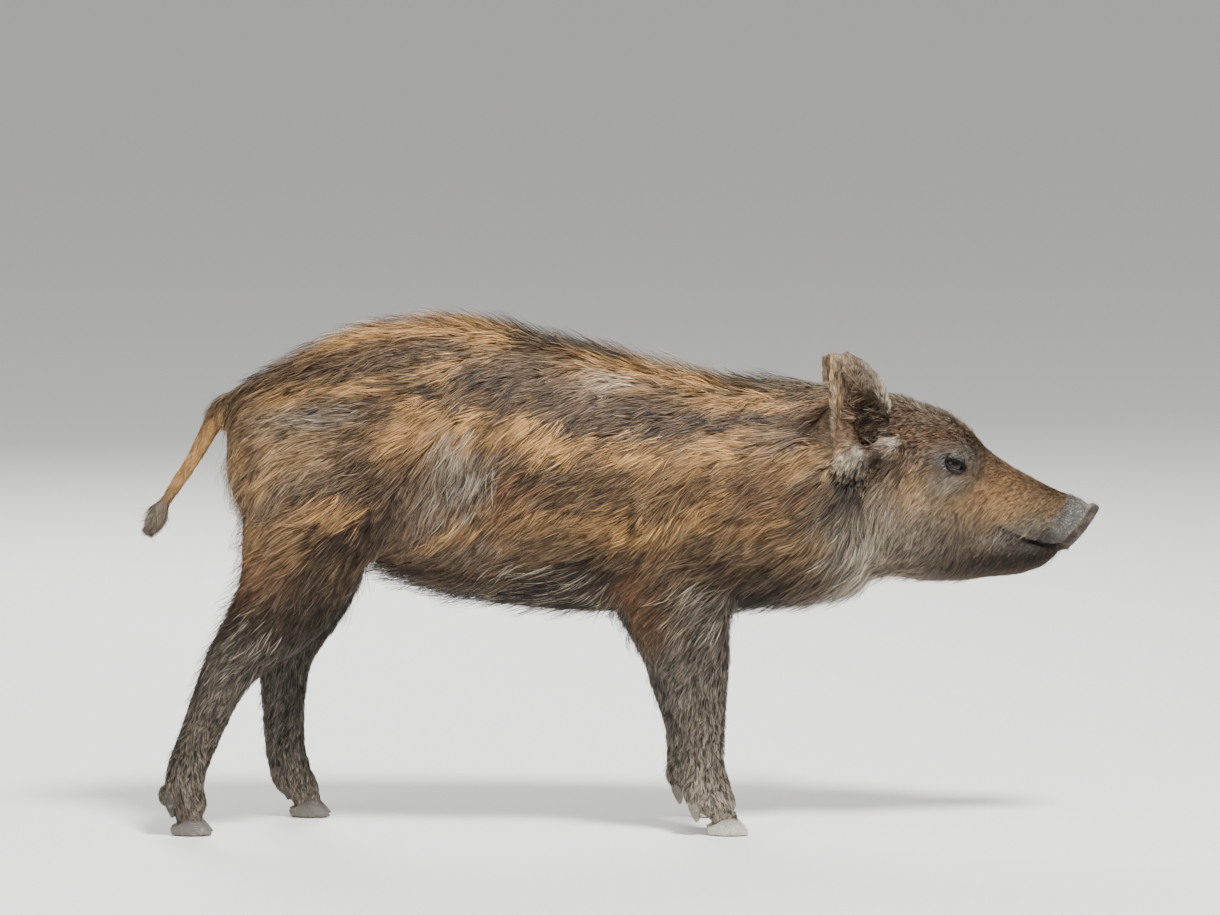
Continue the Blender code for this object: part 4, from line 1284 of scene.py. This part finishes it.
def around_legs(places, _):
    """Each leg is unrolled round its own upright axis, the left one above the right one."""
    side = np.where(places[:, 1] < 0, -1, 1)
    lean = np.interp(places[:, 2], (0.02, 0.15, 0.20), (-0.04, 0.0, 0.0)) * (places[:, 0] < -0.1)
    foot_x = np.where(places[:, 0] < -0.1, -0.285 + lean, 0.060)
    turn = np.arctan2(places[:, 1] - side * 0.05, places[:, 0] - foot_x)
    return np.stack([places[:, 2], turn + side * 3.3], axis=1)


ROUND_TRUNK, ROUND_HEAD, ROUND_SNOUT = around(0.31), around(0.285), around(0.262)


def coat(name, slot, where, count, bends, width, clump, lock_size, curl, unroll=ROUND_TRUNK,
         longer=1.0, lift=1.0, dyed=()):
    """One piece of the coat, grown where the given triangles are; dyed changes some masks."""
    roots, ups = scatter((where & haired).astype(float), count)
    lengths = strand_length(roots) * rng.uniform(0.70, 1.12, count) * longer
    heights = np.maximum(coat_depth(roots + ups * 0.004), 0.0010) * lift
    paths, raised, tone = grow(roots, ups, lengths, heights, bends, clump, lock_size, curl)
    widths = width * rng.uniform(0.65, 1.25, count)
    as_piece(name, slot, paths, raised, widths, tone, unroll, dyed)


# %% [markdown]
# Each piece covers one region and stays below 200,000 triangles, so the regions decide how many
# strands there are: most on the trunk, fine short ones on the face and ears. After the region
# come the number of strands, the bends in each and its width in metres; then how far a strand is
# drawn to its lock, how many locks there are to a strand, and how far locks swing aside.

# %% The coat, piece by piece
front_half = mid_x > -0.10
for side_name, side in (("right", mid_y < 0), ("left", mid_y >= 0)):
    for part, half in (("barrel", front_half), ("haunch", ~front_half)):
        coat(f"coat_{part}_{side_name}", "coat", is_trunk & side & half, 53500, 2, 0.00055, 0.75, 0.04, 0.08)
coat("coat_neck", "coat", is_neck, 54000, 2, 0.00054, 0.75, 0.04, 0.08)
near_muzzle = mid_x > 0.262
coat("coat_cheeks", "face_coat", is_head & ~near_muzzle, 38000, 2, 0.00044, 0.55, 0.06, 0.08, ROUND_HEAD)
coat("coat_muzzle", "face_coat", is_head & near_muzzle, 72000, 1, 0.00038, 0.60, 0.10, 0.10, ROUND_HEAD,
     lift=1.7)
coat("coat_ears", "ear_coat", is_ear, 16500, 2, 0.00036, 0.40, 0.08, 0.10, ear_panels)
coat("coat_forelegs", "leg_coat", is_foreleg, 49000, 2, 0.00046, 0.60, 0.06, 0.10, around_legs)
coat("coat_hind_legs", "leg_coat", is_hind_leg, 52500, 2, 0.00048, 0.60, 0.06, 0.10, around_legs)
coat("coat_tail", "tail_coat", is_tail, 4500, 2, 0.00050, 0.55, 0.10, 0.12, around_tail)
coat("tail_end", "tail_tuft", is_tuft, 2200, 3, 0.00046, 0.60, 0.06, 0.26, around_tail,
     longer=1.45, lift=1.3, dyed=(("ink", 0.36), ("grey", 0.50), ("stripe", 0.1), ("rufous", 0.1)))

# %% [markdown]
# Some hairs break the outline: a loose fringe hangs from the belly, the backs of the thighs, the
# elbows and the throat, pale strands stand out on ruff, flank and hock, stiff whiskers grow on the
# lips and chin, and lashes on the lids.

# %% Fringe, whiskers and lashes
tri_x, _, tri_z = triangle_ups.T
low = mid_z < 0.232
belly = is_trunk & low & (tri_z < -0.25)
coronet = (mid_z > HAIR_LINE) & (mid_z < 0.0250)
heel = (mid_z > 0.026) & (mid_z < 0.048) & (tri_x < -0.15)
ridge = (is_trunk | is_neck) & (np.abs(mid_y) < 0.028) & (tri_z > 0.45) & (mid_z > 0.355) & (mid_x < 0.190)
brisket = (is_trunk | is_neck) & (np.abs(mid_x - 0.155) < 0.065) & (mid_z < 0.240) & (tri_z < -0.35)
brow = is_head & (np.abs(mid_x - 0.285) < 0.045) & (np.abs(mid_y) < 0.030) & (tri_z > 0.4)
thigh_back = (mid_x < -0.235) & (mid_z > 0.125) & (mid_z < 0.330) & (tri_x < -0.45)
elbow = (np.hypot(mid_x - 0.018, mid_z - 0.178) < 0.030) & (tri_x < -0.1)
throat = (is_neck | is_head) & (mid_x < 0.300) & low & (tri_z < -0.25)
cannon = (mid_z > 0.024) & (mid_z < 0.125) & (tri_x < -0.45) & (np.abs(mid_y) < 0.08)
groin = is_trunk & (np.abs(mid_x + 0.16) < 0.050) & low & (tri_z < -0.1)
fringe = belly | thigh_back | elbow | throat | cannon
coat("coat_fringe", "coat", fringe & ~is_tail & ~is_tuft, 5600, 3, 0.00046, 0.60, 0.12, 0.22,
     longer=1.2, lift=2.6)
coat("groin_fringe", "coat", groin, 900, 3, 0.00046, 0.60, 0.14, 0.30, longer=1.5, lift=3.4)
coat("coronet_fringe", "leg_coat", coronet, 5200, 2, 0.00042, 0.60, 0.10, 0.12, around_legs,
     longer=1.35, lift=1.2)
coat("heel_fringe", "leg_coat", heel, 2400, 2, 0.00044, 0.60, 0.10, 0.14, around_legs,
     longer=1.5, lift=1.4)
coat("back_ridge", "coat", ridge, 6400, 3, 0.00050, 0.60, 0.12, 0.16, longer=1.15, lift=1.75)
coat("brisket_fringe", "coat", brisket, 2400, 3, 0.00048, 0.60, 0.12, 0.20, longer=1.3, lift=2.4)
coat("brow_ridge", "face_coat", brow, 2600, 2, 0.00036, 0.50, 0.12, 0.14, ROUND_HEAD,
     longer=1.15, lift=2.2)
ruff, hock, flank, upper_arm = (
    np.hypot((mid_x - x) / long, (mid_z - z) / high) < 1
    for x, z, long, high in ((0.202, 0.248, 0.026, 0.040), (-0.315, 0.165, 0.032, 0.034),
                             (-0.128, 0.312, 0.020, 0.040), (0.075, 0.198, 0.032, 0.028))
)
PALE = (("cream", 0.50), ("grey", 0.35), ("ink", 0.0), ("dark", 0.0), ("rufous", 0.0))
under_belly = is_trunk & (mid_x > -0.13) & (mid_x < 0.0) & (mid_z < 0.235)
pale_places = (ruff & ~is_ear) | hock | flank | under_belly | upper_arm
coat("pale_strands", "coat", pale_places, 2000, 3, 0.00046, 0.70, 0.10, 0.16,
     longer=1.1, lift=1.5, dyed=PALE)
lips = is_head & (mid_x > 0.315) & (mouth_away < 0.016) & ~bare_nose
coat("whiskers", "face_coat", lips, 420, 2, 0.00028, 0.0, 0.2, 0.10, ROUND_HEAD, longer=1.9, lift=5.5)
upper_lip = is_head & (mid_x > 0.332) & (mouth_away > 0.0020) & (mouth_away < 0.0085) & above_mouth
coat("lip_fringe", "face_coat", upper_lip, 700, 2, 0.00026, 0.2, 0.2, 0.2, ROUND_HEAD,
     longer=0.8, lift=1.8,
     dyed=(("ink", 0.35), ("grey", 0.45), ("cream", 0.0), ("dark", 0.2), ("stripe", 0.0), ("rufous", 0.0)))


def stiff_hairs(name, slot, roots, ways, t, span, width, side_axis, sag, unroll, dyed):
    """Straight hairs with lengths in the given span, lying across an axis, and sagging a little."""
    count = len(roots)
    t = t[None, :, None]
    lengths = rng.uniform(*span, (count, 1, 1))
    paths = roots[:, None] + ways[:, None] * t * lengths + np.array([0.0, 0.0, -sag]) * t**2
    raised = unit(np.cross(np.cross(ways, side_axis), ways))[:, None] * np.ones((1, t.shape[1], 1))
    as_piece(name, slot, paths, raised, np.full(count, width), np.zeros((2, count)), unroll, dyed)


# dark hairs that stand out from the upper lid's edge and droop
lid_edge = (np.abs(lid_gap(along_eye, up_eye) + 0.0010) < 0.0006) & (up_eye > 0.0012) & (out_eye > 0)
roots, ups = scatter(lid_edge.astype(float), 320)
outward = EYE_OUT * np.where(roots[:, 1:2] < 0, [[1, -1, 1]], [[1, 1, 1]])
ways = unit(outward + 0.45 * ups + 0.25 * rng.normal(size=roots.shape))
stiff_hairs("lashes", "face_coat", roots, ways, np.linspace(0, 1, 4), (0.0035, 0.0062), 0.00024,
            [0, 0, 1], 0.0016, ROUND_HEAD, (("ink", 1.0), ("grey", 0.0)))

# short stiff hairs that stand on the bare end of the muzzle
roots, ups = scatter(bare_nose * (0.15 + step(ahead_of_disc, -0.010, -0.022)), 2200)
ways = unit(0.55 * ups - 0.8 * DISC_FACING + 0.35 * rng.normal(size=roots.shape))
stiff_hairs("snout_bristles", "snout_skin", roots, ways, np.linspace(-0.1, 1, 3), (0.0018, 0.0046), 0.00020,
            DISC_UP, 0.0, ROUND_SNOUT, (("ink", 0.2), ("grey", 0.6), ("rufous", 0.0), ("stripe", 0.0)))

# %% [markdown]
# ## Eyes
# The eyeball is a ball with a clearer, steeper dome in front of the iris. The dome is pulled out
# of the ball by moving the points that face outward. A young boar's iris is nearly black-brown
# and the pupil is a level oval.


# %% Eyeballs
def eyeball(side_name, side):
    centre = Vector((EYE[0], side * EYE[1], EYE[2]))
    bpy.ops.mesh.primitive_uv_sphere_add(segments=48, ring_count=32, radius=EYE_RADIUS, location=centre)
    ball = bpy.context.object
    ball.name = f"eyeball_{side_name}"
    bpy.ops.object.transform_apply(location=True, rotation=True, scale=True)
    places = points_of(ball)
    facing = unit(places - centre) @ (EYE_OUT * [1, side, 1])
    dome = 1 + 0.085 * step(facing, 0.74, 0.97)
    place_points(ball, np.array(centre) + (places - centre) * dome[:, None])
    only(ball)
    bpy.ops.object.shade_smooth()
    ball.data.materials.append(EYE_MATERIAL)
    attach(ball, "root")
    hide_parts(f"eye_{side_name}")


eye_finish = Finish("wet_eye", Roughness=0.45, Specular_IOR_Level=0.05,
                    Coat_Weight=0.6, Coat_Roughness=0.03)
level = eye_finish.node("ShaderNodeVectorMath", {"operation": "ABSOLUTE"}, {0: eye_finish.place()})
off = eye_finish.vector("SUBTRACT", level, tuple(EYE))
axes = [eye_finish.vector("DOT_PRODUCT", off, tuple(axis), "Value") for axis in (EYE_ALONG, EYE_UP)]
iris_ring = (axes[0] ** 2 + axes[1] ** 2) ** 0.5
pupil_ring = ((axes[0] * 0.62) ** 2 + axes[1] ** 2) ** 0.5
fibres = eye_finish.noise(0.0009, 4.0)
iris = eye_finish.mix(tint(46, 26, 14), tint(22, 13, 9), fibres.ramp(0.35, 0.65))
eye_colour = eye_finish.mix(iris, tint(16, 11, 10), iris_ring.ramp(0.0044, 0.0056))
eye_colour = eye_finish.mix(eye_colour, tint(52, 38, 32), iris_ring.ramp(0.0068, 0.0084) * 0.6)
eye_colour = eye_finish.mix(eye_colour, tint(4, 3, 3), pupil_ring.ramp(0.0026, 0.0021))
EYE_MATERIAL = eye_finish.ends(Base_Color=eye_colour)
for side_name, side in (("right", -1), ("left", 1)):
    eyeball(side_name, side)

# %% [markdown]
# ## Hooves
# A hoof is a horn shell round the last bone of a toe. It grows down from the hair line in rings,
# is darkest there, and is scuffed pale at the toe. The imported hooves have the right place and
# outline, so each is copied and melted rounder. Its top is brought down to the hair line, which
# falls from toe to heel. A dewclaw is made shorter and drawn in below to a blunt tip.

# %% Horn
RING = 0.0019                    # from one growth ring to the next
HEEL_TOP, TOE_TOP = 0.0110, 0.0185
TOP_SHARE = 0.86                 # how wide a hoof's top is beside its sole
LEAN = 0.0050                    # how far back the front of the hoof leans
DEWCLAW_MOVED = {"hind": [0.0060, 0, 0.0030], "fore": [0.0022, 0, -0.0010]}


def worn_horn(node):
    horn = copied(node)
    horn.name = f"horn_{node}"
    horn.data.name = horn.name
    apply_modifier(horn, "REMESH", mode="VOXEL", voxel_size=0.0007)
    apply_modifier(horn, "SMOOTH", factor=0.5, iterations=7)
    places = points_of(horn)
    low, high = places.min(axis=0), places.max(axis=0)
    level = (places[:, 2] - low[2]) / (high[2] - low[2])
    if node.startswith("hoof"):
        toe = np.clip((places[:, 0] - low[0]) / (high[0] - low[0]) / 0.75, 0, 1)
        places[:, 2] = level * blend(HEEL_TOP, TOE_TOP, toe)
        middle = places.mean(axis=0)
        drawn = blend(1.0, TOP_SHARE, step(level, 0.2, 1.0))
        places[:, :2] = middle[:2] + (places - middle)[:, :2] * drawn[:, None]
        places[:, 0] -= LEAN * level * toe
    else:
        ends = [places[np.abs(level - end) < 0.12].mean(axis=0) for end in (0.0, 1.0)]
        axis = blend(ends[0], ends[1], level[:, None])
        blunt = np.sqrt(np.clip(1 - (1 - level) ** 2.6, 0, 1)) * (1 - 0.45 * step(level, 0.45, 1.0))
        places[:, :2] = axis[:, :2] + (places - axis)[:, :2] * (blunt * 1.10)[:, None]
        places[:, 2] = low[2] - 0.0015 + level * 0.80 * (high[2] - low[2])
        places += DEWCLAW_MOVED["hind" if "hind" in node else "fore"]
    place_points(horn, places)
    apply_modifier(horn, "SMOOTH", factor=0.5, iterations=4)
    places, normals = points_of(horn), rows_of(horn.data.vertex_normals, "vector")
    height = places[:, 2] - places[:, 2].min()
    lean = height + 0.14 * (places[:, 0] - places[:, 0].mean())
    rings = 0.00013 * np.sin(2 * math.pi * lean / RING + waves(places, 0.012, 31))
    rings = rings * step(height, 0.001, 0.003)
    chips = 0.00020 * waves(places, 0.005, 32) * step(height, 0.004, 0.0)
    moved = places + (rings + chips + 0.0005)[:, None] * normals
    if node.startswith("hoof"):
        moved[:, 2] -= moved[:, 2].min()
    place_points(horn, moved)
    apply_modifier(horn, "DECIMATE", ratio=0.5)
    only(horn)
    bpy.ops.object.shade_smooth()
    horn.data.materials.append(HORN_MATERIAL)
    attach(horn, "root")
    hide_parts(node)


horn_finish = Finish("horn", Roughness=0.5, Specular_IOR_Level=0.4)
x, _, z = horn_finish.parts("ShaderNodeSeparateXYZ", horn_finish.place())
grain = horn_finish.noise(0.0030, 4.0, stretch=(3.5, 3.5, 0.6))
scuffs = horn_finish.noise(0.0055, 5.0)
fore = horn_finish.mix(tint(116, 109, 97), tint(182, 177, 164), (z * -1).ramp(-0.018, -0.004))
hind = horn_finish.mix(tint(56, 51, 47), tint(104, 99, 92), (z * -1).ramp(-0.018, -0.003))
shell = horn_finish.mix(hind, fore, x.ramp(-0.15, 0.0))
shell = horn_finish.mix(shell, tint(70, 60, 51), grain.ramp(0.50, 0.72) * 0.45)
shell = horn_finish.mix(shell, tint(200, 195, 182), scuffs.ramp(0.54, 0.78) * 0.24)
HORN_MATERIAL = horn_finish.ends(
    Base_Color=shell,
    Roughness=scuffs.ramp(0.35, 0.7) * 0.30 + 0.40,
    Normal=horn_finish.bumps(grain + scuffs * 0.5, 0.0004),
)
for node in HORN:
    worn_horn(node)
print(f"eyes and horn done, {time.time() - STARTED:.1f} s")


# %% [markdown]
# ## The hide's own finish
# Under the hair the hide shows in the gaps, painted darker than the coat as painted shade between
# the hairs. On the snout it is bare: dusty grey ridges with darker cracks, pale dust and a painted
# highlight on the upper ridges, and a browner rim on the disc.

# %% The hide
hide_finish = Finish("hide", Roughness=0.6, Specular_IOR_Level=0.35)
ground, _ = coat_colour(hide_finish)
# painted shade: the hide is the coat's colour at 0.46, so the gaps between the hairs read as shade
ground = hide_finish.scaled(ground, 0.46)
apart = hide_finish.vector("SUBTRACT", hide_finish.place(), tuple(DISC))
ahead, up = [hide_finish.vector("DOT_PRODUCT", apart, tuple(axis), "Value")
             for axis in (DISC_FACING, DISC_UP)]
wobble = hide_finish.node("ShaderNodeTexNoise", {}, {"Vector": hide_finish.place(), "Scale": 300.0}, "Color")
drifted = hide_finish.vector("ADD", hide_finish.place(), hide_finish.scaled(wobble, 0.0024))
cells, fine_cells = [
    hide_finish.node("ShaderNodeTexVoronoi", {"feature": "DISTANCE_TO_EDGE"},
                     {"Vector": drifted, "Scale": scale})
    for scale in (410.0, 900.0)
]
crust = cells.ramp(0.0, 0.34) * 0.55 + fine_cells.ramp(0.0, 0.30) * 0.45
dust = hide_finish.noise(0.008, 4.0)
snout = hide_finish.mix(tint(76, 72, 68), tint(156, 153, 147), crust * (dust.ramp(0.25, 0.65) * 0.6 + 0.4))
# pale dust and a painted highlight on the tops of the ridges, more of it towards the top of the snout
dust_and_highlight = crust.ramp(0.5, 1.0) * dust.ramp(0.42, 0.62) * up.ramp(-0.012, 0.014)
snout = hide_finish.mix(snout, tint(204, 202, 196), dust_and_highlight * 0.9)
snout = hide_finish.mix(snout, tint(52, 46, 42), up.ramp(-0.014, -0.024) * 0.7)
pad = hide_finish.mix(tint(58, 44, 37), tint(100, 88, 79), dust.ramp(0.40, 0.68))
pad = hide_finish.mix(pad, tint(46, 36, 31), fine_cells.ramp(0.12, 0.02) * 0.6)
snout = hide_finish.mix(snout, pad, ahead.ramp(-0.0066, -0.0045))
ground = hide_finish.mix(ground, snout, ahead.ramp(-0.030, -0.022) * up.ramp(-0.034, -0.028))


def beside(centre, squash, low, high):
    """1 near a place on either side of the head and 0 beyond it."""
    x, y, z = hide_finish.parts("ShaderNodeSeparateXYZ", hide_finish.place())
    gone = [(x - centre[0]) * squash[0], y.reckon("ABSOLUTE", y) - centre[1], (z - centre[2]) * squash[1]]
    return ((gone[0] ** 2 + gone[1] ** 2 + gone[2] ** 2) ** 0.5).ramp(high, low)


lid_grain = hide_finish.noise(0.0016, 4.0, stretch=(0.6, 0.6, 2.2))
lid = hide_finish.mix(tint(46, 42, 41), tint(122, 117, 112), lid_grain.ramp(0.42, 0.68))
lid = hide_finish.mix(lid, tint(22, 18, 17), beside(EYE, (0.9, 1.1), 0.0098, 0.0118))
ground = hide_finish.mix(ground, lid, beside(EYE + [0.003, 0, 0.002], (0.72, 1.1), 0.0125, 0.0175))
lobe = hide_finish.mix(tint(150, 132, 122), tint(186, 172, 160), lid_grain)
ground = hide_finish.mix(ground, lobe, beside((0.2000, 0.0520, 0.3245), (0.9, 1.0), 0.004, 0.009))
skin.data.materials.clear()
skin.data.materials.append(hide_finish.ends(
    Base_Color=ground,
    Roughness=crust * 0.25 + 0.45,
    Normal=hide_finish.bumps(crust + dust * 0.6 + lid_grain * 0.5, 0.0011),
))
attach(skin, "root")
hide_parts(*FLESH)

# %% [markdown]
# The boar stands on a pale floor. One soft lamp above gives the shade under the body, a weaker
# one fills it, and one behind lights the hair along the back. The camera looks from the side.

# %% Floor, light and camera
bpy.ops.mesh.primitive_plane_add(size=140, location=(0, 0, -0.0004))
floor = bpy.context.object
floor.name = "floor"
floor_finish = Finish("pale_floor", Roughness=0.8, Specular_IOR_Level=0.2)
floor.data.materials.append(floor_finish.ends(Base_Color=tint(244, 243, 240)))


def soft_light(name, place, target, size, power):
    lamp = bpy.data.lights.new(name, "AREA")
    lamp.shape, lamp.size, lamp.energy = "DISK", size, power
    stand = bpy.data.objects.new(name, lamp)
    stand.location = place
    stand.rotation_euler = (Vector(target) - Vector(place)).to_track_quat("-Z", "Y").to_euler()
    bpy.context.scene.collection.objects.link(stand)


soft_light("key", (0.8, -1.3, 2.8), (0, 0, 0.25), 0.7, 180)
soft_light("fill", (-2.2, -1.8, 1.4), (0, 0, 0.25), 1.8, 22)
soft_light("back", (-0.6, 2.2, 1.9), (0, 0, 0.30), 1.2, 70)
world = bpy.data.worlds.new("studio")
bpy.context.scene.world = world
world.use_nodes = True
sky = world.node_tree.nodes["Background"].inputs
sky["Color"].default_value, sky["Strength"].default_value = (1, 1, 1, 1), 0.50

TARGET = Vector((-0.009, 0.0, 0.315))
DISTANCE, RISE_ANGLE, VIEW_WIDTH = 5.0, math.radians(5.5), 1.037
camera_data = bpy.data.cameras.new("camera")
camera = bpy.data.objects.new("camera", camera_data)
camera.location = TARGET + DISTANCE * Vector((0, -math.cos(RISE_ANGLE), math.sin(RISE_ANGLE)))
camera.rotation_euler = (math.pi / 2 - RISE_ANGLE, 0, 0)
camera_data.sensor_width = 36
camera_data.lens = 36 * DISTANCE / VIEW_WIDTH
bpy.context.scene.collection.objects.link(camera)
bpy.context.scene.camera = camera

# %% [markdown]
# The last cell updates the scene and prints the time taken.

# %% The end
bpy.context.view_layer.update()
print(f"done in {time.time() - STARTED:.1f} s")
